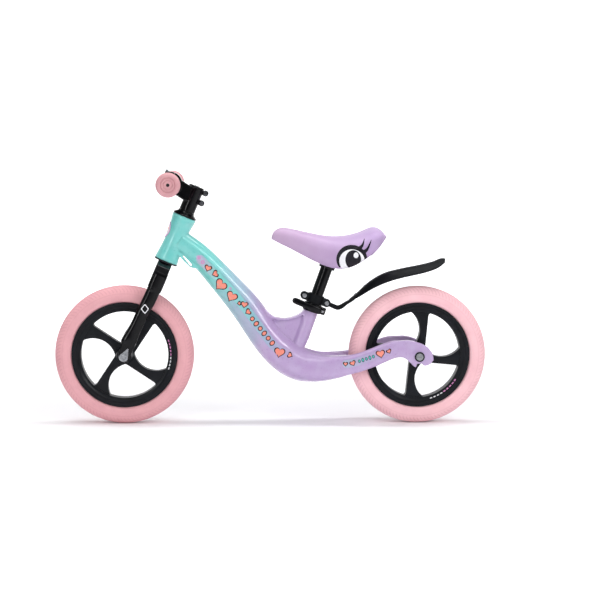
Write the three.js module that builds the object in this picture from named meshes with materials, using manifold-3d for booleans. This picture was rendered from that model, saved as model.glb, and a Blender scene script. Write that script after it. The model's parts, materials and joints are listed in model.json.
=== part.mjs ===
// Children's balance bike, built as separate pieces.
// Millimetres, +Z up. The origin is on the ground midway between the wheels, in the bike's
// middle plane. -X is forward, +X is to the rear, -Y is the bike's left side.
import * as THREE from 'three';
import { mergeVertices } from 'three/addons/utils/BufferGeometryUtils.js';
import Module from 'manifold-3d';

const wasm = await Module();
wasm.setup();

const GAP = 0.3;                     // left between two pieces that touch
const SIDES = [['left', -1], ['right', 1]];

// Wheels
const WHEELBASE = 615;
const TYRE_RADIUS = 145;
const TYRE_WIDTH = 46;
const RIM_RADIUS = 110;
const WINDOW_RADIUS = 93;            // outer edge of the windows between the spokes
const SPOKES = 4;
const HUB_HALF = 36;
const HUB_RADIUS = 15.5;
const SPIDER_HALF = 10.5;            // half the width of the spokes
const RIM_HALF = 17;
const CHANNEL_HALF = 13.8;           // half the width of the rim's channel for the tyre's foot
const AXLE_RADIUS = 4;
const BEARING_RADIUS = 11;
const BEARING_WIDTH = 7;
const WHEEL_SIDES = 32;
const FRONT_X = -WHEELBASE / 2;
const REAR_X = WHEELBASE / 2;
const REAR_WHEEL_TURN = THREE.MathUtils.degToRad(28);

// Steering axis: its foot is the lower end of the head tube
const HEAD_TILT = THREE.MathUtils.degToRad(22.6);
const HEAD_FOOT = new THREE.Vector3(-221.2, 0, 341.4);
const HEAD_LENGTH = 100.5;
const STEERER_RADIUS = 12.7;
const STEERER_TOP = 163;
const STEERER_BORE = 10.5;
const HEADSET_POCKET = 20.5;
const CROWN_TOP = -3.4;
const CROWN_FOOT = -39;
const CROWN_HALF = 51;
const LEG_Y = 41.5;
const LEG_THICK = 19;
const TAB_INNER = 41;
const TAB_OUTER = 48;
const TAB_RADIUS = 12;
const FORK_SLOT_HALF = 4.3;

// Handlebar and stem, in the steering axis's own frame
const BAR_X = -53;
const BAR_Z = 152.4;
const BAR_RADIUS = 11.1;
const BAR_CENTRE_RADIUS = 15.9;
const BAR_CLAMP_RADIUS = 24.4;
const BAR_CLAMP_HALF = 21;
const BAR_HALF = 190;
const GRIP_INNER = 92;
const GRIP_END = 194;
const STEM_RADIUS = 16.4;
const STEM_FOOT = 112;
const STEM_TOP = 164.7;
const LUG_X = 22;
const LUG_Z = [139.1, 161.3];
const LUG_HALF = 9.5;
const LUG_RADIUS = 6.2;
const SMALL_BOLT_RADIUS = 2.5;
const SMALL_HEAD_RADIUS = 4.2;
const CAP_FOOT = 165;

// Seat axis: its foot is on the seat tube just under the collar
const SEAT_TILT = THREE.MathUtils.degToRad(19.4);
const SEAT_FOOT = new THREE.Vector3(81.5, 0, 232);
const POST_RADIUS = 12.7;
const POST_FOOT = -85;
const POST_TOP = 116;
const SEAT_TUBE_RADIUS = 15;
const SEAT_TUBE_TOP = 18.5;
const SEAT_TUBE_FOOT = -75;
const SEAT_BORE_FOOT = -110;
const COLLAR_FOOT = 3.7;
const COLLAR_TOP = 20.9;
const BRACKET_FOOT = 21.4;
const BRACKET_TOP = 41.4;
const BRACKET_BOLT_X = 24.7;
const BRACKET_BOLT_Z = 31.2;
const BRACKET_RADIUS = 17.2;
const EAR_RADIUS = 8.4;
const EYE_HALF = 5;
const EYE_RADIUS = 8.2;
const QR_X = 20.5;
const QR_Z = 12.5;
const LEVER_PIN_Y = -16.3;
const PIN_RADIUS = 2;
const PLATE_LOW = 347;
const PLATE_HIGH = 351;

// ---- helpers -------------------------------------------------------------------------

// One closed triangle mesh: shared corners merged, needle triangles out, faces outwards.
function welded(source) {
  const bare = source.clone();
  bare.deleteAttribute('normal');
  bare.deleteAttribute('uv');
  const merged = mergeVertices(bare, 1e-3);
  const corner = merged.index.array;
  const spot = (i) => new THREE.Vector3().fromBufferAttribute(merged.attributes.position, i);
  const triangles = [];
  let volume = 0;
  for (let i = 0; i < corner.length; i += 3) {
    const [a, b, c] = [corner[i], corner[i + 1], corner[i + 2]];
    if (a === b || b === c || c === a) continue;
    triangles.push([a, b, c]);
    volume += spot(a).dot(spot(b).cross(spot(c)));
  }
  if (volume < 0) triangles.forEach((triangle) => triangle.reverse());
  merged.setIndex(triangles.flat());
  return merged;
}

function solid(geometry) {
  const mesh = welded(geometry);
  return new wasm.Manifold(new wasm.Mesh({
    numProp: 3,
    vertProperties: new Float32Array(mesh.attributes.position.array),
    triVerts: new Uint32Array(mesh.index.array),
  }));
}

function shape(manifold) {
  const mesh = manifold.getMesh();
  const geometry = new THREE.BufferGeometry();
  geometry.setAttribute('position', new THREE.BufferAttribute(mesh.vertProperties, 3));
  geometry.setIndex(new THREE.BufferAttribute(mesh.triVerts, 1));
  return geometry;
}

const joined = (...parts) => parts.reduce((all, part) => all.add(part));

// A piece turned about +Z from [radius, height] points.
function turned(profile, sides = 18) {
  const points = profile.map(([radius, height]) => new THREE.Vector2(radius, height));
  return new THREE.LatheGeometry(points, sides).rotateX(Math.PI / 2);
}

// The same, turned about the Y axis, heights running towards -Y.
const turnedY = (profile, sides = 18) => turned(profile, sides).rotateX(Math.PI / 2);

function ring(inner, outer, low, high, sides) {
  return turned([[inner, low], [outer, low], [outer, high], [inner, high], [inner, low]], sides);
}

function rod(radius, low, high, sides) {
  return turned([[0, low], [radius, low], [radius, high], [0, high]], sides);
}

// A bolt along +Z: hexagon head above the shank, a nut of the same size at its foot.
function bolt(radius, low, high, head, headHeight) {
  return turned([
    [0, low], [head, low], [head, low + headHeight], [radius, low + headHeight],
    [radius, high - headHeight], [head, high - headHeight], [head, high], [0, high],
  ], 10);
}

function block(low, high) {
  const size = high.map((value, axis) => value - low[axis]);
  const middle = high.map((value, axis) => (value + low[axis]) / 2);
  return new THREE.BoxGeometry(...size).translate(...middle);
}

// A bar of a radius along Y, centred at (x, z), as long as twice a half length.
function crossBar(radius, half, x, z, sides = 12) {
  return turnedY([[0, -half], [radius, -half], [radius, half], [0, half]], sides).translate(x, 0, z);
}

// A flat outline in the X-Z plane, made thick from y = low to y = high.
function plate(outline, low, high, curveSegments = 6) {
  const settings = { depth: high - low, bevelEnabled: false, curveSegments };
  const body = new THREE.ExtrudeGeometry(outline, settings);
  return body.rotateX(Math.PI / 2).translate(0, high, 0);
}

function outlineThrough(points) {
  const outline = new THREE.Shape();
  outline.moveTo(...points[0]);
  points.slice(1).forEach((point) => outline.lineTo(...point));
  return outline;
}

// One coordinate of a superellipse, from the same coordinate of a circle.
function bulge(value, power) {
  const rounded = Math.abs(value) < 1e-9 ? 0 : value;
  return Math.sign(rounded) * Math.abs(rounded) ** (2 / power);
}

function curveThrough(points) {
  return new THREE.CatmullRomCurve3(points.map((point) => new THREE.Vector3(...point)));
}

// A tube along a path in the X-Z plane. A station is [x, z, height, width, y offset]; the
// section is a superellipse square to the path, with one power above and one below.
function lofted(stations, { sides, steps, power, under = power }) {
  const path = curveThrough(stations.map(([x, z, , , y = 0]) => [x, y, z]));
  const sizes = curveThrough(stations.map(([, , high, wide]) => [high, wide, 0]));
  const tube = new THREE.CylinderGeometry(1, 1, 1, sides, steps);
  const place = tube.attributes.position;
  for (let i = 0; i < place.count; i += 1) {
    const along = THREE.MathUtils.clamp(place.getY(i) + 0.5, 0, 1);
    const centre = path.getPoint(along);
    const size = sizes.getPoint(along);
    const heading = path.getTangent(along).setY(0).normalize();
    const corner = place.getX(i) < 0 ? under : power;
    const up = bulge(place.getX(i), corner) * size.x / 2;
    const out = bulge(place.getZ(i), corner) * size.y / 2;
    place.setXYZ(i, centre.x - heading.z * up, centre.y + out, centre.z + heading.x * up);
  }
  return tube;
}

// Moves a shape from an axis's own frame (Z along the axis, X to the rear) to the bike's.
function onAxis(geometry, foot, tilt) {
  return geometry.rotateY(tilt).translate(foot.x, foot.y, foot.z);
}

const onHead = (geometry) => onAxis(geometry, HEAD_FOOT, HEAD_TILT);
const onSeat = (geometry) => onAxis(geometry, SEAT_FOOT, SEAT_TILT);

function headLocal(x, z) {
  const spot = new THREE.Vector3(x, 0, z).sub(HEAD_FOOT);
  return spot.applyAxisAngle(new THREE.Vector3(0, 1, 0), -HEAD_TILT);
}

const FRONT_AXLE = headLocal(FRONT_X, TYRE_RADIUS);

// ---- finishes ------------------------------------------------------------------------

const finish = (color, roughness, metalness = 0) => ({ color, roughness, metalness });
const MINT = finish(0x7fdccf, 0.35);
const LILAC = finish(0xc8aad6, 0.55);
const PINK = finish(0xeab0b8, 0.8);
const GLOSS_BLACK = finish(0x15161a, 0.25);
const SATIN_BLACK = finish(0x24282e, 0.55);
const DARK_PLASTIC = finish(0x33373b, 0.6);
const STEEL = finish(0xb4b6b8, 0.35, 1);
const ALLOY_BLACK = finish(0x1b1d20, 0.4, 0.6);

function piece(name, geometry, look) {
  const mesh = new THREE.Mesh(welded(geometry), new THREE.MeshStandardMaterial(look));
  mesh.name = name;
  return mesh;
}

// ---- frame ---------------------------------------------------------------------------

function headTube() {
  const outside = [
    [24.6, 0], [24.6, 4], [23.4, 14], [21.2, 37], [20.6, 58], [21.4, 69], [23.2, 82], [25.2, 95],
    [25.2, HEAD_LENGTH],
  ];
  return solid(onHead(turned([[0, 0], ...outside, [0, HEAD_LENGTH]])));
}

// Bore for the steerer, with a pocket for a bearing at each end.
function headBore() {
  const [inner, lowShoulder, highShoulder, past] = [15, 12, 88, 5];
  return solid(onHead(turned([
    [0, -past], [HEADSET_POCKET, -past], [HEADSET_POCKET, lowShoulder], [inner, lowShoulder],
    [inner, highShoulder], [HEADSET_POCKET, highShoulder], [HEADSET_POCKET, HEAD_LENGTH + past],
    [0, HEAD_LENGTH + past],
  ])));
}

// Down tube and belly: [x, z, height, width] along the middle, from the head to the yoke.
const BACKBONE = [
  [-192, 383, 44, 40], [-147, 349, 45, 42], [-87, 284, 53, 47], [-49, 239, 59, 52], [-15, 189, 60, 57],
  [8, 162, 63, 62], [32, 141, 66, 67], [54, 129, 67, 73], [78, 122.5, 66, 81], [103, 119.5, 59, 90],
  [130, 121.5, 51, 97], [160, 127, 43, 99],
];

// Chain stay: [x, z, height, width, y] on the right side.
const STAY = [
  [112, 120, 48, 22, 33], [134, 122.5, 47, 22, 38], [154, 126, 42, 20, 39.5], [179, 131.5, 39.5, 18.5, 41],
  [205, 140.5, 39, 17.5, 42], [229, 151, 38, 16, 43], [254, 160, 36.5, 14, 43.5], [276, 161, 34, 12, 43.5],
];

const DROPOUT_INNER = 38;
const DROPOUT_OUTER = 49;
const DROPOUT = [
  [258, 178], [283, 179.4], [296, 177.3], [308.5, 173.5], [317, 169.7], [325.4, 164],
  [332.9, 154.6], [336.2, 147.2], [337.3, 138], [332, 131], [325, 127], [318.6, 125.6],
  [312.6, 130], [312.6, 145], [307.5, 150.1], [302.4, 145], [302.4, 130], [300.4, 121],
  [294.4, 126.2], [288, 132.5], [281.7, 138.8], [275, 142.7], [268, 144.7], [258, 145],
];
const DROPOUT_SLOT_HALF = 5.1;
const DROPOUT_BOSS_RADIUS = 15;

function stay(side) {
  const path = STAY.map(([x, z, high, wide, y]) => [x, z, high, wide, y * side]);
  const [low, high] = side < 0 ? [-DROPOUT_OUTER, -DROPOUT_INNER] : [DROPOUT_INNER, DROPOUT_OUTER];
  const tube = solid(lofted(path, { sides: 12, steps: 10, power: 3.2 }));
  const boss = crossBar(DROPOUT_BOSS_RADIUS, 1, REAR_X, TYRE_RADIUS, 18);
  boss.translate(0, side * DROPOUT_OUTER, 0);
  const slot = block([REAR_X - DROPOUT_SLOT_HALF, -60, 100], [REAR_X + DROPOUT_SLOT_HALF, 60, TYRE_RADIUS]);
  const round = crossBar(DROPOUT_SLOT_HALF, 60, REAR_X, TYRE_RADIUS, 18);
  return joined(tube, solid(plate(outlineThrough(DROPOUT), low, high)), solid(boss))
    .subtract(solid(slot)).subtract(solid(round));
}

// Thin web between down tube and seat tube, with a pocket in each side.
function gusset() {
  const edge = [
    [-14, 240], [0.8, 227.3], [9.3, 223.6], [24, 221.6], [38.8, 223.1], [51.3, 227.4], [61.9, 233.7],
    [67, 240], [82, 240], [62, 150], [20, 160], [-20, 200],
  ];
  const pocket = [[14, 215.5], [57.5, 218.5], [42.5, 182], [35, 187]];
  const collarRoom = solid(onSeat(block([-60, -30, COLLAR_FOOT - GAP], [60, 30, 60])));
  const web = solid(plate(outlineThrough(edge), -13, 13)).subtract(collarRoom);
  return SIDES.reduce((all, [, side]) => {
    const [low, high] = side < 0 ? [-20, -5] : [5, 20];
    return all.subtract(solid(plate(outlineThrough(pocket), low, high)));
  }, web);
}

// Small strut under the head end of the down tube; a slot stays open above it.
function headStrut() {
  const edge = [
    [-204, 364], [-189.5, 347.5], [-170.9, 328.6], [-160, 326.5], [-140, 326], [-150, 360],
  ];
  const slot = [[-188, 352.5], [-184.6, 353.6], [-166.4, 334], [-167.4, 329.6], [-170.8, 330.8]];
  return [
    solid(plate(outlineThrough(edge), -15, 15)),
    solid(plate(outlineThrough(slot), -40, 40)),
  ];
}

function frame() {
  const backbone = solid(lofted(BACKBONE, { sides: 16, steps: 16, power: 2.8 }));
  const seatTube = solid(onSeat(rod(SEAT_TUBE_RADIUS, SEAT_TUBE_FOOT, SEAT_TUBE_TOP)));
  const seatBore = solid(onSeat(rod(POST_RADIUS + GAP, SEAT_BORE_FOOT, SEAT_TUBE_TOP + 5)));
  const wheelRoom = turnedY([
    [0, -29.5], [149, -29.5], [154, -24], [154, 24], [149, 29.5], [0, 29.5],
  ], 40).translate(REAR_X, 0, TYRE_RADIUS);
  const [strut, slot] = headStrut();
  const body = joined(backbone, headTube(), seatTube, gusset(), strut)
    .subtract(slot).add(stay(-1)).add(stay(1));
  return shape(body.subtract(headBore()).subtract(seatBore).subtract(solid(wheelRoom)));
}

// ---- headset -------------------------------------------------------------------------

function headsetPieces() {
  const cup = [
    [17.8, -2.8], [25, -2.8], [25, -GAP], [20.2, -GAP], [20.2, 11], [17.8, 11], [17.8, -2.8],
  ];
  const inFrame = [
    piece('headset_lower_cup', turned(cup), ALLOY_BLACK),
    piece('lower_bearing', ring(13.3, 17.5, 1, 8), STEEL),
    piece('upper_bearing', ring(13.3, 20.2, 90, 97.5), STEEL),
  ];
  const cover = [
    [13, 101], [25, 101], [25, 103.3], [19.4, 107.8], [17.2, 111.7], [13, 111.7], [13, 101],
  ];
  const onFork = [
    piece('crown_race', ring(13, 16.8, -3, 0.6), STEEL),
    piece('headset_top_cover', turned(cover), GLOSS_BLACK),
  ];
  return [inFrame, onFork];
}

// ---- fork ----------------------------------------------------------------------------

// Leg in the steering axis's frame: [x, z, depth, thickness] from the crown to the foot.
const LEG = [
  [0.4, -30, 30, LEG_THICK], [0.2, -55, 29, LEG_THICK], [-0.8, -85, 28.5, 18.5], [-3, -112, 26.5, 17.5],
  [-4.2, -140, 26, 17], [-5.4, -162, 27.5, 17], [-6.4, -180, 32, 17], [-6.6, -189, 32, 16],
];

// Arched bridge that carries both legs.
function crown() {
  const [flatHalf, legInner, soffitHalf, soffit] = [22, 31, 18, -26];
  const arch = new THREE.Shape();
  arch.moveTo(-CROWN_HALF, CROWN_FOOT);
  arch.quadraticCurveTo(-CROWN_HALF, -9, -flatHalf, CROWN_TOP);
  arch.lineTo(flatHalf, CROWN_TOP);
  arch.quadraticCurveTo(CROWN_HALF, -9, CROWN_HALF, CROWN_FOOT);
  arch.lineTo(legInner, CROWN_FOOT);
  arch.quadraticCurveTo(30, -27, soffitHalf, soffit);
  arch.lineTo(-soffitHalf, soffit);
  arch.quadraticCurveTo(-30, -27, -legInner, CROWN_FOOT);
  const depth = 29;
  const bevel = {
    depth, bevelSize: 2, bevelThickness: 3, bevelSegments: 1, curveSegments: 5, bevelOffset: -2,
  };
  const body = new THREE.ExtrudeGeometry(arch, bevel).translate(0, 0, -depth / 2);
  return body.rotateX(Math.PI / 2).rotateZ(Math.PI / 2);
}

// Flat end of a leg, with a slot for the axle that is open downwards.
function legTab(side) {
  const { x, z } = FRONT_AXLE;
  const slope = 0.16;
  const top = z + 36;
  const tab = new THREE.Shape();
  tab.absarc(x, z, TAB_RADIUS, Math.PI + slope, -slope, false);
  tab.lineTo(x + 13, top);
  tab.lineTo(x - 16, top);
  const slot = block([x - FORK_SLOT_HALF, -60, z - 30], [x + FORK_SLOT_HALF, 60, z]);
  const round = crossBar(FORK_SLOT_HALF, 60, x, z);
  const [low, high] = side < 0 ? [-TAB_OUTER, -TAB_INNER] : [TAB_INNER, TAB_OUTER];
  return solid(plate(tab, low, high)).subtract(solid(slot)).subtract(solid(round));
}

function fork() {
  const steerer = solid(rod(STEERER_RADIUS, -20, STEERER_TOP));
  const bore = solid(rod(STEERER_BORE, -60, STEERER_TOP + 5));
  const legs = SIDES.map(([, side]) => {
    const path = LEG.map(([x, z, deep, thick]) => [x, z, deep, thick, side * LEG_Y]);
    return solid(lofted(path, { sides: 12, steps: 9, power: 2.8 })).add(legTab(side));
  });
  return shape(joined(solid(crown()), steerer, ...legs).subtract(bore));
}

// ---- stem, handlebar and grips -------------------------------------------------------

// The stem before it is bored and split: steerer clamp, arm, bar clamp and two pairs of lugs.
function stemBody() {
  const arm = outlineThrough([
    [0, STEM_FOOT + 19], [0, STEM_TOP], [-19, STEM_TOP], [-36, 168], [-50, 172], [-50, 131],
    [-34, 134.5], [-16, 131.5],
  ]);
  const barrel = crossBar(BAR_CLAMP_RADIUS, BAR_CLAMP_HALF, BAR_X, BAR_Z, 18);
  const lugs = LUG_Z.map((z) => {
    const top = Math.min(z + 5.5, STEM_TOP);
    const ear = crossBar(LUG_RADIUS, LUG_HALF, LUG_X, z, 16);
    return solid(ear).add(solid(block([0, -LUG_HALF, z - 5.5], [LUG_X, LUG_HALF, top])));
  });
  return joined(
    solid(rod(STEM_RADIUS, STEM_FOOT, STEM_TOP)),
    solid(plate(arm, -15, 15)),
    solid(barrel),
    ...lugs,
  );
}

const FACEPLATE_BOLTS = [[-14, -19.6], [14, -19.6], [-14, 19.6], [14, 19.6]];

// Bolt along X, head to the front, or the stepped hole for it when it is grown by a gap.
function faceplateBolt(y, z, gap = 0, headTop = 19) {
  const shank = SMALL_BOLT_RADIUS + gap;
  const head = SMALL_HEAD_RADIUS + gap;
  const profile = [[0, -8], [shank, -8], [shank, 15], [head, 15], [head, headTop], [0, headTop]];
  return turned(profile, 12).rotateY(-Math.PI / 2).translate(BAR_X, y, BAR_Z + z);
}

function pinchBolt(z) {
  const screw = bolt(SMALL_BOLT_RADIUS, -12.3, 12.3, SMALL_HEAD_RADIUS, 2.5);
  return screw.rotateX(Math.PI / 2).translate(LUG_X, 0, z);
}

const boltHole = (x, z) => solid(crossBar(SMALL_BOLT_RADIUS + GAP, 30, x, z));

function clampPieces() {
  const split = 1.2;
  const bores = joined(
    solid(rod(STEERER_RADIUS + GAP, 0, 200)),
    solid(crossBar(BAR_CENTRE_RADIUS + GAP, 60, BAR_X, BAR_Z, 18)),
    solid(block([4, -split, STEM_FOOT - 5], [60, split, STEM_TOP + 5])),
    ...LUG_Z.map((z) => boltHole(LUG_X, z)),
    ...FACEPLATE_BOLTS.map(([y, z]) => solid(faceplateBolt(y, z, GAP, 40))),
  );
  const whole = stemBody().subtract(bores);
  const front = solid(block([BAR_X - 60, -60, BAR_Z - 60], [BAR_X - split, 60, BAR_Z + 60]));
  const rear = solid(block([BAR_X + split, -60, 0], [100, 60, 300]));
  return [shape(whole.intersect(rear)), shape(whole.intersect(front))];
}

function handlebar() {
  const half = [[BAR_CENTRE_RADIUS, 34], [BAR_RADIUS, 60], [BAR_RADIUS, BAR_HALF]];
  const other = half.map(([radius, y]) => [radius, -y]).reverse();
  return turnedY([[0, -BAR_HALF], ...other, ...half, [0, BAR_HALF]]);
}

// Grip with a safety ball end; heights run outwards from the bike's middle.
function grip(side) {
  const inner = BAR_RADIUS + GAP;
  const endHole = 3.4;
  const outside = [
    [inner, GRIP_INNER], [20.5, GRIP_INNER], [20.5, GRIP_INNER + 4], [15.4, GRIP_INNER + 6],
    [15.2, 172], [23.4, 179], [24.6, 185], [20.5, GRIP_END], [endHole, GRIP_END],
    [endHole, BAR_HALF + GAP], [inner, BAR_HALF + GAP], [inner, GRIP_INNER],
  ];
  return turnedY(outside.map(([radius, height]) => [radius, -height * side]));
}

function steeringPieces() {
  const [stem, faceplate] = clampPieces();
  const cap = [
    [3.4, CAP_FOOT], [16.2, CAP_FOOT], [16.4, 167], [15, 168.3], [5.6, 168.3], [5.6, 166.5],
    [3.4, 166.5], [3.4, CAP_FOOT],
  ];
  const capBolt = [[0, 140], [3, 140], [3, 166.9], [5.2, 166.9], [5.2, 169.2], [0, 169.2]];
  const pieces = [
    piece('fork', fork(), GLOSS_BLACK),
    piece('stem', stem, GLOSS_BLACK),
    piece('stem_faceplate', faceplate, GLOSS_BLACK),
    piece('top_cap', turned(cap, 20), GLOSS_BLACK),
    piece('top_cap_bolt', turned(capBolt, 12), STEEL),
    piece('star_nut', ring(3.4, 10, 144, 150, 12), STEEL),
    piece('handlebar', handlebar().translate(BAR_X, 0, BAR_Z), ALLOY_BLACK),
  ];
  FACEPLATE_BOLTS.forEach(([y, z], i) => {
    pieces.push(piece(`faceplate_bolt_${i + 1}`, faceplateBolt(y, z), STEEL));
  });
  LUG_Z.forEach((z, i) => pieces.push(piece(`pinch_bolt_${i + 1}`, pinchBolt(z), STEEL)));
  SIDES.forEach(([name, side]) => {
    pieces.push(piece(`grip_${name}`, grip(side).translate(BAR_X, 0, BAR_Z), PINK));
  });
  return pieces;
}

// ---- wheels --------------------------------------------------------------------------

// Window between two spokes: the rim's arc, a round edge and a straight edge. The corners are
// rounded by arcs whose centres stand one fillet in from both edges that they join.
function windowOutline() {
  const fillet = 7;
  const curve = { x: -66, y: -13, radius: 47.5 };
  const chord = 15;
  const chordAngle = -0.582;
  const rimReach = WINDOW_RADIUS - fillet;
  const curveReach = curve.radius - fillet;
  const normal = new THREE.Vector2(Math.cos(chordAngle), Math.sin(chordAngle));
  const along = new THREE.Vector2(normal.y, -normal.x);
  const meetLine = (centre, radius, sign) => {
    const offset = centre.dot(normal) + chord + fillet;
    const foot = centre.clone().addScaledVector(normal, -offset);
    return foot.addScaledVector(along, sign * Math.sqrt(radius * radius - offset * offset));
  };
  const middle = new THREE.Vector2(curve.x, curve.y);
  const reach = middle.length();
  const inward = (rimReach ** 2 - curveReach ** 2 + reach ** 2) / (2 * reach);
  const sideways = Math.sqrt(rimReach ** 2 - inward ** 2);
  const unit = middle.clone().normalize();
  const across = new THREE.Vector2(unit.y, -unit.x);
  const origin = new THREE.Vector2();
  const top = origin.clone().addScaledVector(unit, inward).addScaledVector(across, sideways);
  const hub = meetLine(middle, curveReach, -1);
  const foot = meetLine(origin, rimReach, 1);
  const angle = (from, to) => Math.atan2(to.y - from.y, to.x - from.x);
  const outline = new THREE.Shape();
  outline.absarc(0, 0, WINDOW_RADIUS, angle(origin, foot), angle(origin, top), true);
  outline.absarc(top.x, top.y, fillet, angle(origin, top), angle(middle, top), true);
  outline.absarc(curve.x, curve.y, curve.radius, angle(middle, top), angle(middle, hub), true);
  outline.absarc(hub.x, hub.y, fillet, angle(middle, hub), chordAngle, true);
  outline.absarc(foot.x, foot.y, fillet, chordAngle, angle(origin, foot), true);
  return outline;
}

function rim() {
  const inside = WINDOW_RADIUS - 1.5;
  const seat = 102;
  const hoop = turnedY([
    [inside, -13], [100, -RIM_HALF], [RIM_RADIUS, -RIM_HALF], [RIM_RADIUS, -CHANNEL_HALF],
    [seat, -CHANNEL_HALF], [seat, CHANNEL_HALF], [RIM_RADIUS, CHANNEL_HALF], [RIM_RADIUS, RIM_HALF],
    [100, RIM_HALF], [inside, 13], [inside, -13],
  ], WHEEL_SIDES);
  const disc = crossBar(96, SPIDER_HALF, 0, 0, WHEEL_SIDES);
  const hub = turnedY([
    [0, -HUB_HALF], [HUB_RADIUS, -HUB_HALF], [17.5, -17], [19.5, -11], [19.5, 11], [17.5, 17],
    [HUB_RADIUS, HUB_HALF], [0, HUB_HALF],
  ]);
  const opening = plate(windowOutline(), -40, 40, 3);
  let spider = solid(disc);
  for (let i = 0; i < SPOKES; i += 1) {
    spider = spider.subtract(solid(opening.clone().rotateY(i * 2 * Math.PI / SPOKES)));
  }
  const pocket = BEARING_RADIUS + GAP;
  const shoulder = HUB_HALF - BEARING_WIDTH - 1;
  const bore = turnedY([
    [0, -60], [pocket, -60], [pocket, -shoulder], [8, -shoulder], [8, shoulder],
    [pocket, shoulder], [pocket, 60], [0, 60],
  ]);
  return shape(joined(solid(hoop), spider, solid(hub)).subtract(solid(bore)));
}

// Solid foam tyre: a foot in the rim's channel, round shoulders and a flat crown.
function tyre() {
  const half = TYRE_WIDTH / 2;
  const flat = 1 / Math.cos(Math.PI / WHEEL_SIDES);
  const side = [
    [102.4, 13.3], [110.4, 13.3], [110.6, 19], [117, 22.4], [126, half], [137, 19], [TYRE_RADIUS, 6.5],
  ].map(([radius, y]) => [radius * flat, y]);
  const mirrored = side.map(([radius, y]) => [radius, -y]).reverse();
  return turnedY([...side, ...mirrored, side[0]], WHEEL_SIDES).rotateY(Math.PI / WHEEL_SIDES);
}

function wheelPieces(name, turn) {
  const place = [name === 'front' ? FRONT_X : REAR_X, 0, TYRE_RADIUS];
  const spacer = ring(AXLE_RADIUS + GAP, 6, -27, 27, 16).rotateX(Math.PI / 2);
  const pieces = [
    piece(`${name}_rim`, rim().rotateY(-turn), SATIN_BLACK),
    piece(`${name}_tyre`, tyre(), PINK),
    piece(`${name}_hub_spacer`, spacer, STEEL),
  ];
  SIDES.forEach(([sideName, side]) => {
    const middle = side * (HUB_HALF - BEARING_WIDTH / 2 - 0.5);
    const bearing = ring(AXLE_RADIUS + GAP, BEARING_RADIUS, -BEARING_WIDTH / 2, BEARING_WIDTH / 2, 16);
    bearing.rotateX(Math.PI / 2).translate(0, middle, 0);
    pieces.push(piece(`${name}_bearing_${sideName}`, bearing, STEEL));
  });
  pieces.forEach((part) => part.position.set(...place));
  return pieces;
}

function axle(shoulder, end) {
  const collar = HUB_HALF + 0.2;
  const collarRadius = 6.8;
  const half = [
    [collarRadius, collar], [collarRadius, shoulder], [AXLE_RADIUS, shoulder], [AXLE_RADIUS, end], [0, end],
  ];
  const other = half.map(([radius, y]) => [radius, -y]).reverse();
  return turnedY([...other, [AXLE_RADIUS, -collar], [AXLE_RADIUS, collar], ...half], 16);
}

// Flanged nut on the axle's end; the axle stands 1 mm proud of it.
function axleNut(low, high, flange, hex, side) {
  const inner = AXLE_RADIUS + GAP;
  const points = [
    [inner, low], [flange, low], [flange, low + 1.8], [hex, low + 2.6], [hex, high], [inner, high],
    [inner, low],
  ];
  return turnedY(points.map(([radius, height]) => [radius, -height * side]), 12);
}

// Teardrop plate on the fork's tab, its point to the rear and upwards.
function axlePlate(side) {
  const cover = new THREE.Shape();
  cover.absarc(0, 0, 10.5, Math.PI * 0.92, -Math.PI * 0.15, false);
  cover.lineTo(11, 17.5);
  cover.lineTo(8.5, 18.5);
  cover.holes.push(new THREE.Path().absarc(0, 0, AXLE_RADIUS + GAP, 0, 2 * Math.PI, true));
  const [low, high] = [TAB_OUTER + GAP, TAB_OUTER + 3];
  return side < 0 ? plate(cover, -high, -low) : plate(cover, low, high);
}

function frontAxlePieces() {
  const pieces = [piece('front_axle', axle(TAB_INNER - GAP, 55), STEEL)];
  SIDES.forEach(([name, side]) => {
    pieces.push(piece(`front_axle_plate_${name}`, axlePlate(side), STEEL));
    const nut = axleNut(TAB_OUTER + 3.4, 54.2, 8.4, 6.2, side);
    pieces.push(piece(`front_axle_nut_${name}`, nut, STEEL));
  });
  pieces.forEach((part) => part.position.set(FRONT_X, 0, TYRE_RADIUS));
  return pieces;
}

function rearAxlePieces() {
  const pieces = [piece('rear_axle', axle(DROPOUT_INNER - GAP, 56), STEEL)];
  SIDES.forEach(([name, side]) => {
    const nut = axleNut(DROPOUT_OUTER + 1.3, 55.4, 10.6, 7, side);
    pieces.push(piece(`rear_axle_nut_${name}`, nut, STEEL));
  });
  pieces.forEach((part) => part.position.set(REAR_X, 0, TYRE_RADIUS));
  return pieces;
}

// ---- seat collar and quick release ---------------------------------------------------

// A bar on the lever's pin, which stands across the skewer's end.
const atPin = (radius, half) => (
  solid(rod(radius, QR_Z - half, QR_Z + half, 12).translate(QR_X, LEVER_PIN_Y, 0)));

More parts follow.
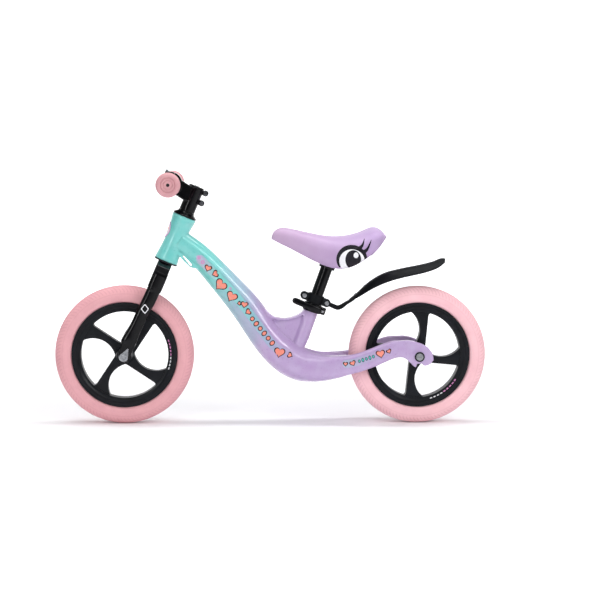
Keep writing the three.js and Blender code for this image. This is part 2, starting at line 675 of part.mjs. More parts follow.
function collarPieces() {
  const inner = SEAT_TUBE_RADIUS + GAP;
  const lip = POST_RADIUS + GAP;
  const outer = 19.4;
  const band = solid(turned([
    [inner, COLLAR_FOOT], [outer, COLLAR_FOOT], [outer, COLLAR_TOP], [lip, COLLAR_TOP],
    [lip, SEAT_TUBE_TOP + GAP], [inner, SEAT_TUBE_TOP + GAP], [inner, COLLAR_FOOT],
  ]));
  const ears = solid(block([16.5, -9, COLLAR_FOOT + 1], [28.5, 9, COLLAR_TOP - 1]));
  const slit = solid(block([12, -1.5, 0], [40, 1.5, 30]));
  const collar = shape(band.add(ears).subtract(slit).subtract(boltHole(QR_X, QR_Z)));
  const shank = turned([
    [0, LEVER_PIN_Y], [SMALL_BOLT_RADIUS, LEVER_PIN_Y], [SMALL_BOLT_RADIUS, 19], [0, 19],
  ], 12).rotateX(-Math.PI / 2).translate(QR_X, 0, QR_Z);
  const skewer = shape(solid(shank).add(atPin(4.2, 2.6)).subtract(atPin(PIN_RADIUS + GAP, 20)));
  const nut = ring(SMALL_BOLT_RADIUS + GAP, 5.5, -17.5, -12.7, 12)
    .rotateX(Math.PI / 2).translate(QR_X, 0, QR_Z);
  return [
    piece('seat_collar', collar, GLOSS_BLACK),
    piece('collar_skewer', skewer, STEEL),
    piece('collar_nut', nut, STEEL),
  ];
}

// Lever on the left: two cheeks round the skewer's eye, then a flat arm round the tube.
function leverPieces() {
  const arm = lofted([
    [QR_X + 1, QR_Z, 11.5, 8, LEVER_PIN_Y - 1], [12, QR_Z + 0.3, 11.5, 7, LEVER_PIN_Y - 4.5],
    [-2, QR_Z + 0.8, 11.5, 5.5, -23.6], [-20, QR_Z + 1.6, 12.5, 5, -23],
    [-38, QR_Z + 2.5, 13, 6, -20], [-46, QR_Z + 3, 8, 4, -19],
  ], { sides: 10, steps: 9, power: 3 });
  const cheekGap = atPin(7, 2.9);
  const pinHole = atPin(PIN_RADIUS + GAP, 20);
  const lever = solid(arm).add(atPin(6, 5.75)).subtract(cheekGap).subtract(pinHole);
  return [
    piece('qr_lever', shape(lever), GLOSS_BLACK),
    piece('qr_cam_pin', shape(atPin(PIN_RADIUS, 6)), STEEL),
  ];
}

// ---- mudguard ------------------------------------------------------------------------

// The two halves of the bracket that clamp the post; the rear ears hold the arm's eye.
function bracketPieces() {
  const ear = (x, half) => {
    const [low, high] = x < 0 ? [x, -14.5] : [14.5, x];
    const arm = block([low, -half, BRACKET_BOLT_Z - 8], [high, half, BRACKET_BOLT_Z + 8]);
    return solid(crossBar(EAR_RADIUS, half, x, BRACKET_BOLT_Z, 16)).add(solid(arm));
  };
  const eyeRoom = block([13, -EYE_HALF - GAP, 15], [45, EYE_HALF + GAP, 50]);
  const bracket = joined(
    solid(ring(POST_RADIUS + GAP, BRACKET_RADIUS, BRACKET_FOOT, BRACKET_TOP)),
    ear(-BRACKET_BOLT_X, 8),
    ear(BRACKET_BOLT_X, 10),
  ).subtract(solid(eyeRoom))
    .subtract(boltHole(-BRACKET_BOLT_X, BRACKET_BOLT_Z))
    .subtract(boltHole(BRACKET_BOLT_X, BRACKET_BOLT_Z))
    .subtract(solid(rod(POST_RADIUS + GAP, 0, 60)));
  const halves = SIDES.map(([name, side]) => {
    const [low, high] = side < 0 ? [-40, -0.6] : [0.6, 40];
    const half = bracket.intersect(solid(block([-60, low, 0], [60, high, 60])));
    return piece(`mudguard_bracket_${name}`, shape(half), DARK_PLASTIC);
  });
  const ends = [['front', -BRACKET_BOLT_X, 10.8], ['rear', BRACKET_BOLT_X, 12.8]];
  const bolts = ends.map(([name, x, reach]) => {
    const screw = bolt(SMALL_BOLT_RADIUS, -reach, reach, 4.6, 2.5).rotateX(Math.PI / 2);
    return piece(`bracket_bolt_${name}`, screw.translate(x, 0, BRACKET_BOLT_Z), STEEL);
  });
  return [...halves, ...bolts];
}

const PIVOT = new THREE.Vector3(BRACKET_BOLT_X, 0, BRACKET_BOLT_Z)
  .applyAxisAngle(new THREE.Vector3(0, 1, 0), SEAT_TILT).add(SEAT_FOOT);

// Blade's crown line: [x, z, half width, drop of the edges].
const BLADE = [
  [163, 260, 11, 2], [178, 272, 16, 6], [206, 297.5, 22, 13], [236, 315, 24.5, 16.5], [268, 324, 25, 16],
  [312, 333, 25, 15], [338, 339.5, 24.5, 13], [358, 348.6, 22, 9], [366, 344.5, 16, 3],
];

const BLADE_THICK = 3;

// A curved sheet: a flat box bent along the crown line and arched across it.
function blade(thick = BLADE_THICK) {
  const crown = curveThrough(BLADE.map(([x, z]) => [x, 0, z]));
  const across = curveThrough(BLADE.map(([, , half, drop]) => [half, drop, 0]));
  const sheet = new THREE.BoxGeometry(1, 1, 1, 14, 6, 1);
  const place = sheet.attributes.position;
  for (let i = 0; i < place.count; i += 1) {
    const along = THREE.MathUtils.clamp(place.getX(i) + 0.5, 0, 1);
    const side = 2 * place.getY(i);
    const spot = crown.getPoint(along);
    const size = across.getPoint(along);
    const heading = crown.getTangent(along);
    const lift = -size.y * side * side + (place.getZ(i) - 0.5) * thick;
    place.setXYZ(i, spot.x - heading.z * lift, side * size.x, spot.z + heading.x * lift);
  }
  return sheet;
}

// Screws through blade and arm: [name, x, z, slope of the blade there].
const BLADE_SCREWS = [['front', 176.5, 270.5, 0.72], ['rear', 196, 288.5, 0.76]];
const BLADE_SCREW_RADIUS = 2;

const squareToBlade = (geometry, x, z, slope) => geometry.rotateY(-slope).translate(x, 0, z);

function bladeScrew(x, z, slope) {
  const shank = BLADE_SCREW_RADIUS;
  const profile = [[0, -13], [shank, -13], [shank, 0.4], [4, 0.4], [3.4, 2], [0, 2]];
  return squareToBlade(turned(profile, 12), x, z, slope);
}

// The arm: a strap from the eye on the bracket's bolt to a tongue under the blade. It is cut
// down to the eye's width near the bracket.
function mudguardArm(screwHoles) {
  const strap = solid(lofted([
    [PIVOT.x + 4, PIVOT.z - 2, 9, 10], [131, 246, 9.5, 12], [139, 243.4, 9.5, 13],
    [147, 246, 9, 15], [157, 253, 7, 17], [170, 261, 6, 20], [186, 274.6, 5, 24],
    [203, 287.5, 4.5, 24],
  ], { sides: 8, steps: 12, power: 4 }));
  const eye = solid(crossBar(EYE_RADIUS, EYE_HALF, PIVOT.x, PIVOT.z, 16));
  const [start, end] = [PIVOT.x - 20, PIVOT.x + 11];
  const near = solid(block([start, -20, 200], [end, 20, 300]));
  const slim = solid(block([start, -EYE_HALF, 200], [end, EYE_HALF, 300]));
  const arm = strap.subtract(near).add(strap.intersect(slim)).add(eye);
  return arm.subtract(boltHole(PIVOT.x, PIVOT.z)).subtract(screwHoles)
    .subtract(solid(blade(BLADE_THICK + 2 * GAP)));
}

function mudguardPieces() {
  const holes = joined(...BLADE_SCREWS.map(([, ...place]) => (
    solid(squareToBlade(rod(BLADE_SCREW_RADIUS + GAP, -23, 12, 12), ...place)))));
  const parts = [
    piece('mudguard_arm', shape(mudguardArm(holes)), DARK_PLASTIC),
    piece('mudguard_blade', shape(solid(blade()).subtract(holes)), DARK_PLASTIC),
  ];
  BLADE_SCREWS.forEach(([name, ...place]) => {
    parts.push(piece(`blade_screw_${name}`, bladeScrew(...place), STEEL));
  });
  return parts;
}

// ---- seat post and saddle ------------------------------------------------------------

function seatPost() {
  const inner = POST_RADIUS - 2;
  const ceiling = POST_TOP - 4;
  return turned([
    [inner, POST_FOOT], [POST_RADIUS, POST_FOOT], [POST_RADIUS, POST_TOP], [0, POST_TOP],
    [0, ceiling], [inner, ceiling], [inner, POST_FOOT],
  ]);
}

// Saddle outline: [x, top z, bottom z, half width] from nose to tail.
const SADDLE = [
  [0, 393, 388, 7], [5, 402.5, 383.5, 14.5], [15, 409.8, 378, 20], [32, 410.5, 368.5, 24],
  [56, 405.2, 356.5, 28.5], [80, 399.5, 343.5, 34], [105, 394.9, 332, 41.5], [130, 393.4, 324, 51],
  [155, 394.6, 322.8, 61], [180, 400, 329.3, 68.5], [204, 411, 347.5, 71], [220, 412, 360.5, 66.5],
  [232, 403.5, 376.5, 53], [237, 396, 388, 36],
];
const SADDLE_SCREWS = [[96, -14], [96, 14], [146, -14], [146, 14]];
const SADDLE_SCREW_RADIUS = 2;
const SADDLE_WALL = 9;

// A saddle shape through [x, top, bottom, half width] stations: soft above, steep below.
function saddleLoft(stations, steps, power, under) {
  const path = stations.map(([x, top, low, half]) => [x, (top + low) / 2, top - low, 2 * half]);
  return solid(lofted(path, { sides: 18, steps, power, under }));
}

// The hollow under the saddle, drawn in further by a gap for the base that fills it.
function saddleHollow(gap = 0) {
  const [start, end, roof, below] = [30, 215, 20, 14];
  const wall = SADDLE_WALL + gap;
  const stations = SADDLE.filter(([x]) => x > start && x < end)
    .map(([x, top, low, half]) => [x, top - roof - gap, low - below, half - wall]);
  return saddleLoft(stations, 10, 3, 8);
}

function saddleBase(screwHoles) {
  const skirt = saddleLoft(SADDLE.map(([x, top, low, half]) => [x, top, low + 5, half]), 10, 2.4, 5);
  const under = solid(block([0, -90, 250], [260, 90, PLATE_HIGH + GAP]));
  return saddleHollow(GAP).intersect(skirt).subtract(under).subtract(screwHoles);
}

// Plate under the saddle, with a socket for the post.
function saddleBracket(screwHoles) {
  const below = solid(block([0, -60, 200], [260, 60, PLATE_LOW + 1]));
  const socket = solid(onSeat(rod(17, 100, 125))).intersect(below);
  const post = solid(onSeat(rod(POST_RADIUS + GAP, 60, POST_TOP + GAP)));
  const flat = solid(block([84, -21, PLATE_LOW], [158, 21, PLATE_HIGH]));
  return flat.add(socket).subtract(post).subtract(screwHoles);
}

function saddlePieces() {
  const holes = joined(...SADDLE_SCREWS.map(([x, y]) => (
    solid(rod(SADDLE_SCREW_RADIUS + GAP, 300, 364, 12).translate(x, y, 0)))));
  const cover = saddleLoft(SADDLE, 16, 2.4, 5).subtract(saddleHollow());
  const pieces = [
    piece('saddle_cover', shape(cover), LILAC),
    piece('saddle_base', shape(saddleBase(holes)), SATIN_BLACK),
    piece('saddle_bracket', shape(saddleBracket(holes)), GLOSS_BLACK),
  ];
  const [foot, seat, tip] = [PLATE_LOW - 3, PLATE_LOW - GAP, 362];
  const profile = [
    [0, foot], [3.6, foot], [3.8, seat], [SADDLE_SCREW_RADIUS, seat], [SADDLE_SCREW_RADIUS, tip], [0, tip],
  ];
  SADDLE_SCREWS.forEach(([x, y], i) => {
    pieces.push(piece(`saddle_screw_${i + 1}`, turned(profile, 12).translate(x, y, 0), STEEL));
  });
  return pieces;
}

// ---- assembly ------------------------------------------------------------------------

const [headsetInFrame, headsetOnFork] = headsetPieces();

const steering = new THREE.Group();
steering.position.copy(HEAD_FOOT);
steering.rotation.y = HEAD_TILT;
steering.add(...headsetInFrame, ...headsetOnFork, ...steeringPieces());

const seat = new THREE.Group();
seat.position.copy(SEAT_FOOT);
seat.rotation.y = SEAT_TILT;
seat.add(piece('seat_post', seatPost(), GLOSS_BLACK), ...collarPieces());
seat.add(...leverPieces(), ...bracketPieces());

const bike = new THREE.Group();
bike.add(piece('frame', frame(), MINT), steering, seat);
bike.add(...wheelPieces('front', 0), ...wheelPieces('rear', REAR_WHEEL_TURN));
bike.add(...frontAxlePieces(), ...rearAxlePieces(), ...mudguardPieces(), ...saddlePieces());

export default bike;
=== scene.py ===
"""Looks of a children's balance bike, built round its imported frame.

Shapes are written in millimetres in the bike's own frame (-X forward, -Y the bike's left side,
+Z up, origin on the ground midway between the wheels). They become metres when a mesh is made.
"""

import json
import math

import bmesh
import bpy
import numpy as np
from mathutils import Matrix, Vector
from mathutils.bvhtree import BVHTree


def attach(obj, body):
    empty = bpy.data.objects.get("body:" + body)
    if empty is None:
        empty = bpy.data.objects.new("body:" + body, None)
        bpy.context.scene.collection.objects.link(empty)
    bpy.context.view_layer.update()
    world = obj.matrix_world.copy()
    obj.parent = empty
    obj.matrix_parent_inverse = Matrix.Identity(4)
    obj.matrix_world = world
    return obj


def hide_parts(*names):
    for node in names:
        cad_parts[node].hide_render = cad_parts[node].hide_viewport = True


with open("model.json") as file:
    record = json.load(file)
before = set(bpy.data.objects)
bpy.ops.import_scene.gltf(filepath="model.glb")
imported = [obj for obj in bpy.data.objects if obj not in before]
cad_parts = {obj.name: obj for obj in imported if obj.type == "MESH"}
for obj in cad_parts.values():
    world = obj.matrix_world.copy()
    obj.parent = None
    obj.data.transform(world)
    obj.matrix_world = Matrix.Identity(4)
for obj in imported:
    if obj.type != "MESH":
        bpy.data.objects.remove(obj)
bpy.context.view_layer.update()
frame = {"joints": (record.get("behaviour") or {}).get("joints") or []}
MM = 0.001
SIDES = (("left", -1), ("right", 1))

# ---- the places of the moving parts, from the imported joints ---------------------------
JOINTS = {joint["name"]: joint for joint in frame["joints"]}


def centre_of(name):
    return Vector(JOINTS[name]["pos_m"]) / MM


def axis_turn(name):
    """The tilt in the X-Z plane that brings Z onto a joint's axis."""
    x, _, z = JOINTS[name]["axis"]
    return Matrix.Rotation(math.atan2(x, z), 4, "Y")


def at(x, y, z):
    return Matrix.Translation((x, y, z))


SEAT_FOOT = (81.5, 0, 232)      # on the seat tube's middle line, where heights along it start
HEAD = at(*centre_of("steer")) @ axis_turn("steer")
SEAT = at(*SEAT_FOOT) @ axis_turn("seat_height")
FRONT_HUB = centre_of("front_spin")
REAR_HUB = centre_of("rear_spin")
GUARD_PIVOT = centre_of("mudguard_tilt")
ALONG_Y = Matrix.Rotation(math.pi / 2, 4, "X")      # turns a piece's Z axis to -Y
REAR_WHEEL_TURN = math.radians(28)


def outwards(side):
    """Turns a piece's Z axis away from the middle, to one side of the bike."""
    return ALONG_Y @ Matrix.Scale(-side, 4, (0, 0, 1))


def y_range(side, inner, outer):
    """The range of y on one side, from two distances off the middle."""
    return sorted((side * inner, side * outer))


# ---- mesh helpers --------------------------------------------------------------------
def in_scene(name, data):
    """A new object in the scene."""
    body = bpy.data.objects.new(name, data)
    bpy.context.scene.collection.objects.link(body)
    return body


def new_object(name, points, faces):
    """A mesh object from points in millimetres, with its faces turned outwards."""
    mesh = bpy.data.meshes.new(name)
    mesh.from_pydata((np.asarray(points, float) * MM).tolist(), [], faces)
    work = bmesh.new()
    work.from_mesh(mesh)
    bmesh.ops.recalc_face_normals(work, faces=work.faces)
    work.to_mesh(mesh)
    work.free()
    return in_scene(name, mesh)


def moved(points, place):
    turn = np.array(place.to_3x3())
    return np.asarray(points, float) @ turn.T + np.array(place.to_translation())


def apply_modifiers(body):
    shape = body.evaluated_get(bpy.context.evaluated_depsgraph_get())
    mesh = bpy.data.meshes.new_from_object(shape)
    old = body.data
    body.modifiers.clear()
    body.data = mesh
    bpy.data.meshes.remove(old)
    return body


def combined(body, tools, operation):
    """body with each tool cut away, joined on or kept in common; the tools are used up."""
    for tool in tools:
        step = body.modifiers.new("step", "BOOLEAN")
        step.operation = operation
        step.solver = "MANIFOLD"
        step.object = tool
        apply_modifiers(body)
        bpy.data.objects.remove(tool)
    return body


def cut(body, *tools):
    return combined(body, tools, "DIFFERENCE")


def joined(body, *tools):
    return combined(body, tools, "UNION")


def common(body, *tools):
    return combined(body, tools, "INTERSECT")


def copied(body, name):
    return in_scene(name, body.data.copy())


def melted(body, voxel, passes=4):
    """One even skin over a solid, its corners softened as on a casting."""
    skin = body.modifiers.new("skin", "REMESH")
    skin.mode = "VOXEL"
    skin.voxel_size = voxel * MM
    soft = body.modifiers.new("soft", "SMOOTH")
    soft.factor = 0.5
    soft.iterations = passes
    return apply_modifiers(body)


def eased(body, width, angle=32, segments=3):
    """Rounds the edges sharper than an angle in degrees."""
    edge = body.modifiers.new("edge", "BEVEL")
    edge.width = width * MM
    edge.segments = segments
    edge.limit_method = "ANGLE"
    edge.angle_limit = math.radians(angle)
    return apply_modifiers(body)


def filleted(points, radius, steps=4, closed=True):
    """The outline through points with its corners rounded by a radius."""
    points = [Vector(point) for point in points]
    outline = []
    for index, corner in enumerate(points):
        if not closed and index in (0, len(points) - 1):
            outline.append(tuple(corner))
            continue
        before = points[index - 1] - corner
        after = points[(index + 1) % len(points)] - corner
        turn = before.angle(after)
        reach = radius / math.tan(turn / 2) if turn > 0.02 else radius
        reach = min(reach, 0.48 * before.length, 0.48 * after.length)
        start = corner + before.normalized() * reach
        end = corner + after.normalized() * reach
        for step in range(steps + 1):
            part = step / steps
            outline.append(tuple((1 - part) ** 2 * start + 2 * part * (1 - part) * corner + part ** 2 * end))
    return outline


def headings(line):
    """Unit direction along a line at each of its points."""
    run = np.gradient(line, axis=0)
    return run / np.linalg.norm(run, axis=1)[:, None]


def grid_faces(rows, columns, wrap_rows=False, wrap_columns=True):
    faces = []
    for row in range(rows if wrap_rows else rows - 1):
        after = (row + 1) % rows
        for column in range(columns if wrap_columns else columns - 1):
            beside = (column + 1) % columns
            faces.append((row * columns + column, row * columns + beside,
                          after * columns + beside, after * columns + column))
    return faces


def mirrored(profile):
    """A profile and then its reflection in height, as one run of points."""
    return [*profile, *((radius, -height) for radius, height in reversed(profile))]


def lathe(name, profile, place=Matrix(), sides=96):
    """A piece turned about its Z axis from [radius, height] points, closed on itself or on the axis."""
    points = []
    rings = []
    for radius, height in profile:
        if radius < 1e-6:
            rings.append([len(points)] * sides)
            points.append((0, 0, height))
            continue
        rings.append(list(range(len(points), len(points) + sides)))
        for side in range(sides):
            angle = 2 * math.pi * side / sides
            points.append((radius * math.cos(angle), radius * math.sin(angle), height))
    if profile[0][0] > 1e-6:
        rings.append(rings[0])
    faces = []
    for low, high in zip(rings, rings[1:]):
        for side in range(sides):
            beside = (side + 1) % sides
            corners = dict.fromkeys((low[side], low[beside], high[beside], high[side]))
            if len(corners) > 2:
                faces.append(tuple(corners))
    return new_object(name, moved(points, place), faces)


def turned(name, profile, place=Matrix(), ease=0.6, sides=96):
    """A turned piece whose profile corners are eased. The profile is a loop or ends on the axis."""
    closed = profile[0][0] > 1e-6
    return lathe(name, filleted(profile, ease, closed=closed), place, sides)


def disc(name, radius, low, high, place=Matrix(), ease=0.5, sides=64):
    return turned(name, [(0, low), (radius, low), (radius, high), (0, high)], place, ease, sides)


def ring(name, inner, outer, low, high, place=Matrix(), ease=0.4, sides=64):
    return turned(name, [(inner, low), (outer, low), (outer, high), (inner, high)], place, ease, sides)


BOLT_HOLE, SCREW_HOLE, AXLE_HOLE = 2.8, 2.3, 4.3      # radii


def hole(radius, place, ease=0.5, sides=64):
    """Cutter for a hole right through, along the Z axis of its place."""
    return disc("hole", radius, -30, 30, place, ease, sides)


def block(low, high, place=Matrix()):
    corners = [(x, y, z) for x in (low[0], high[0]) for y in (low[1], high[1]) for z in (low[2], high[2])]
    faces = [(0, 1, 3, 2), (4, 6, 7, 5), (0, 4, 5, 1), (2, 3, 7, 6), (0, 2, 6, 4), (1, 5, 7, 3)]
    return new_object("block", moved(corners, place), faces)


def plate(name, outline, low, high, place=Matrix()):
    """A flat outline of (x, z) points made thick from y = low to y = high."""
    count = len(outline)
    points = [(x, y, z) for y in (low, high) for x, z in outline]
    faces = [tuple(range(count)), tuple(range(2 * count - 1, count - 1, -1))]
    faces += [(i, (i + 1) % count, count + (i + 1) % count, count + i) for i in range(count)]
    return new_object(name, moved(points, place), faces)


def arc(x, z, radius, start, end, steps=24):
    return [(x + radius * math.cos(angle), z + radius * math.sin(angle))
            for angle in np.linspace(start, end, steps + 1)]


def along(rows, steps):
    """A smooth curve through rows of numbers, sampled evenly by row."""
    rows = np.asarray(rows, float)
    ends = np.vstack([2 * rows[0] - rows[1], rows, 2 * rows[-1] - rows[-2]])
    spot = np.linspace(0, len(rows) - 1, steps)
    index = np.minimum(spot.astype(int), len(rows) - 2)
    part = (spot - index)[:, None]
    a, b, c, d = (ends[index + k] for k in range(4))
    return b + 0.5 * part * (c - a + part * (2 * a - 5 * b + 4 * c - d + part * (3 * (b - c) + d - a)))


def superellipse(power, sides):
    """Section as (out, up) pairs from -1 to 1."""
    angles = 2 * math.pi * np.arange(sides) / sides
    bulge = lambda value: np.sign(value) * np.abs(value) ** (2 / power)
    return np.stack([bulge(np.sin(angles)), bulge(np.cos(angles))], axis=1)


def even_section(outline, sides):
    """The section through an outline, one point for each even step of angle."""
    outline = np.asarray(outline)
    angle = np.arctan2(outline[:, 0], outline[:, 1]) % (2 * math.pi)
    order = np.argsort(angle)
    even = 2 * math.pi * np.arange(sides) / sides
    reach = np.interp(even, angle[order], np.linalg.norm(outline, axis=1)[order], period=2 * math.pi)
    return np.stack([reach * np.sin(even), reach * np.cos(even)], axis=1)


def tube(name, rows, heading, out, up, place=Matrix()):
    """A closed tube: a section of (out, up) for each row of [x, z, ...], square to its heading."""
    x = rows[:, 0, None] - heading[:, 1, None] * up
    z = rows[:, 1, None] + heading[:, 0, None] * up
    steps, count = x.shape
    faces = grid_faces(steps, count)
    faces += [tuple(range(count)), tuple(range((steps - 1) * count, steps * count))]
    return new_object(name, moved(np.stack([x, out, z], axis=2).reshape(-1, 3), place), faces)


def loft(name, stations, section, steps, place=Matrix(), upright=False):
    """A tube through [x, z, height, width, y] stations, its section square to the path or upright."""
    rows = along([list(station) + [0] * (5 - len(station)) for station in stations], steps)
    heading = headings(rows[:, :2])
    if upright:
        heading[:] = (1, 0)
    out, up = (np.asarray(section)[..., part] * rows[:, size, None] / 2 for part, size in ((0, 3), (1, 2)))
    return tube(name, rows, heading, rows[:, 4, None] + out, up, place)


def hexagon(name, across, low, high, place=Matrix()):
    """Hexagon bar with its corners turned off at both ends; across is between two flats."""
    corner = across / math.sqrt(3)
    bar = lathe(name, [(0, low), (corner, low), (corner, high), (0, high)], place, 6)
    flat = across / 2
    turn = [(0, low), (flat, low), (corner, low + 0.8), (corner, high - 0.8), (flat, high), (0, high)]
    return common(bar, lathe("turn", turn, place))


def socket_screw(name, place, shank, head, low, under, top, socket=2.5):
    """Screw along Z: shank from low to under, a rounded head up to top with a hexagon socket."""
    profile = [(0, low), (shank, low), (shank, under), (head, under), (head, top), (0, top)]
    body = turned(name, profile, place, 0.7, 48)
    corner = socket / math.sqrt(3)
    key = lathe("key", [(0, top - 2), (corner, top - 2), (corner, top + 1), (0, top + 1)], place, 6)
    return cut(body, key)


def piece(body, look, rides, *stands_for, slot=None, angle=38):
    """Gives a finished piece its material and its body, and hides the CAD nodes that it stands for."""
    kind = look.name.split(".")[0]          # Blender numbers a name that the CAD's materials have taken
    mesh = body.data
    mesh.materials.clear()
    mesh.materials.append(look)
    mesh.shade_smooth()
    mesh.set_sharp_from_angle(angle=math.radians(angle))
    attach(body, rides)
    slot or SLOTS.get(kind, kind)
    if stands_for:
        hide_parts(*stands_for)
    return body


# ---- materials -----------------------------------------------------------------------
def srgb(red, green, blue):
    """Linear colour from 0-255 display values."""
    shares = [value / 255 for value in (red, green, blue)]
    return tuple(((s + 0.055) / 1.055) ** 2.4 if s > 0.04 else s / 12.92 for s in shares) + (1,)


class Look:
    """A Principled material put together from nodes that read the piece's own place in metres."""

    def __init__(self, name, **constants):
        self.material = bpy.data.materials.new(name)
        self.material.use_nodes = True
        self.tree = self.material.node_tree
        self.shader = self.tree.nodes["Principled BSDF"]
        for name, value in constants.items():
            self.shader.inputs[name.replace("_", " ")].default_value = value
        self.place = self.node("ShaderNodeTexCoord").outputs["Object"]

    def node(self, kind, inputs=(), **settings):
        node = self.tree.nodes.new(kind)
        for name, value in settings.items():
            setattr(node, name, value)
        for key, value in dict(inputs).items():
            if isinstance(value, bpy.types.NodeSocket):
                self.tree.links.new(value, node.inputs[key])
            else:
                node.inputs[key].default_value = value
        return node

    def noise(self, scale, detail=3.0, stretch=(1, 1, 1), roughness=0.5):
        place = self.node("ShaderNodeMapping", {"Vector": self.place, "Scale": stretch}).outputs[0]
        return self.node("ShaderNodeTexNoise", {
            "Vector": place, "Scale": scale, "Detail": detail, "Roughness": roughness}).outputs["Fac"]

    def cells(self, scale, feature="F1"):
        return self.node("ShaderNodeTexVoronoi", {"Vector": self.place, "Scale": scale},
                         feature=feature).outputs["Distance"]

    def attribute(self, name):
        return self.node("ShaderNodeAttribute", attribute_name=name).outputs["Fac"]

    def axis(self, name):
        return self.node("ShaderNodeSeparateXYZ", {0: self.place}).outputs[name]

    def sums(self, operation, first, second):
        return self.node("ShaderNodeMath", {0: first, 1: second}, operation=operation).outputs[0]

    def spread(self, value, low, high, start=0.3, end=0.7):
        """value from start to end becomes low to high, and stops there."""
        return self.node("ShaderNodeMapRange", {
            "Value": value, "From Min": start, "From Max": end, "To Min": low, "To Max": high}).outputs[0]

    def mix(self, share, first, second):
        """The first colour, and the second by its share; each is 0-255 display values or a socket."""
        first, second = (srgb(*colour) if isinstance(colour, tuple) else colour for colour in (first, second))
        return self.node("ShaderNodeMix", {0: share, 6: first, 7: second}, data_type="RGBA").outputs[2]

    def clouds(self, first, second, scale, detail, most=1, start=0.3, end=0.7, **noise):
        """Clouds of a second colour in a first, most of it at their thickest."""
        return self.mix(self.spread(self.noise(scale, detail, **noise), 0, most, start, end), first, second)

    def drive(self, socket, value):
        self.tree.links.new(value, self.shader.inputs[socket])

    def finish(self, colour, rough, *reliefs):
        """Sets the colour, a roughness from low to high by a noise, and reliefs in millimetres."""
        low, high, *noise = rough
        self.drive("Base Color", colour)
        self.drive("Roughness", self.spread(self.noise(*noise), low, high))
        normal = {}
        for height, strength, depth in reliefs:
            relief = self.node("ShaderNodeBump", {
                "Height": height, "Strength": strength, "Distance": depth * MM, **normal}).outputs[0]
            normal = {"Normal": relief}
            self.drive("Normal", relief)
        return self.material


# The record's material slots that aren't named as their look is.
SLOTS = {"dark_steel": "steel", "rim_plastic": "rim_black", "front_foam": "tyre_foam", "rear_foam": "tyre_foam"}
MINT = (107, 205, 199)
LILAC = (179, 152, 198)


def frame_paint():
    """Gloss enamel that fades from mint at the head to lilac at the belly."""
    look = Look("frame_paint", Coat_Weight=0.7, Coat_Roughness=0.06, Coat_IOR=1.5)
    drift = look.spread(look.noise(14, 2), -0.012, 0.012)
    fade = look.spread(look.sums("ADD", look.axis("X"), drift), 0, 1, -0.125, -0.012)
    tone = look.mix(fade, MINT, LILAC)
    return look.finish(look.clouds(tone, (235, 240, 250), 60, 4, 0.10), (0.26, 0.36, 220),
                       (look.noise(180, 1), 0.05, 0.12))


def black_paint():
    """Gloss black enamel with the faint ripple of a sprayed coat."""
    look = Look("black_paint", Coat_Weight=0.35, Coat_Roughness=0.03, Specular_IOR_Level=0.05)
    return look.finish(look.clouds((3, 3, 5), (8, 8, 12), 90, 5), (0.16, 0.28, 260, 4),
                       (look.noise(160, 1), 0.05, 0.12))


def black_alloy():
    """Anodised alloy: dark, with fine turning marks."""
    look = Look("black_alloy", Metallic=0.85)
    return look.finish(look.mix(look.noise(300, 4), (38, 39, 42), (58, 59, 63)),
                       (0.28, 0.42, 900, 2, (1, 8, 1)), (look.noise(1500, 2, (1, 6, 1)), 0.15, 0.05))


def steel(name, deep, pale):
    """Zinc-plated steel with fine brushing and a little mottling."""
    look = Look(name, Metallic=1.0)
    return look.finish(look.clouds(deep, pale, 160, 4), (0.2, 0.4, 700, 3, (1, 5, 1)),
                       (look.noise(1800, 2, (1, 7, 1)), 0.2, 0.04))


def rim_plastic():
    """Glass-filled nylon, satin blue-black, with moulded grain."""
    look = Look("rim_plastic", Specular_IOR_Level=0.14, Coat_Weight=0.12, Coat_Roughness=0.2)
    return look.finish(look.clouds((10, 12, 17), (18, 21, 27), 45, 4), (0.36, 0.52, 350, 4),
                       (look.cells(1400), 0.12, 0.05), (look.noise(30, 2), 0.06, 0.6))


def guard_plastic():
    """Dark grey polypropylene: fine spark texture, corners rubbed paler."""
    look = Look("guard_plastic", Specular_IOR_Level=0.12)
    tone = look.clouds((10, 12, 15), (19, 21, 25), 70, 5)
    edge = look.spread(look.node("ShaderNodeNewGeometry").outputs["Pointiness"], 0, 0.5, 0.53, 0.62)
    return look.finish(look.mix(edge, tone, (48, 51, 55)), (0.42, 0.6, 500), (look.cells(1100), 0.3, 0.08))


def base_plastic():
    """Black polypropylene under the saddle."""
    look = Look("base_plastic")
    return look.finish(look.clouds((24, 25, 28), (38, 39, 43), 60, 4), (0.45, 0.62, 400),
                       (look.cells(900), 0.25, 0.08))


def tyre_foam(name, pale, deep):
    """Closed-cell foam: matt, mottled, with dust and painted shade darkening the tread's grooves."""
    look = Look(name, Specular_IOR_Level=0.35)
    tone = look.clouds(pale, deep, 28, 6, 1, 0.32, 0.68, roughness=0.65)
    tone = look.clouds(tone, (255, 225, 226), 900, 2, 0.16, 0.55, 0.75)
    # Dust and painted shade: the grooves are darkened by their depth, for the dust in them and the shade that
    # falls in them.
    groove_dust_and_shade = look.sums("MULTIPLY", look.attribute("groove"), 0.36)
    return look.finish(look.mix(groove_dust_and_shade, tone, (188, 122, 130)), (0.66, 0.84, 120, 4),
                       (look.cells(1300), 0.28, 0.12), (look.noise(70, 3), 0.15, 0.5))


def grip_rubber():
    """Soft thermoplastic rubber, matt pink, with a fine moulded stipple."""
    look = Look("grip_rubber", Specular_IOR_Level=0.4)
    return look.finish(look.clouds((204, 149, 155), (215, 162, 167), 50, 5), (0.5, 0.68, 240),
                       (look.cells(1500), 0.25, 0.08))


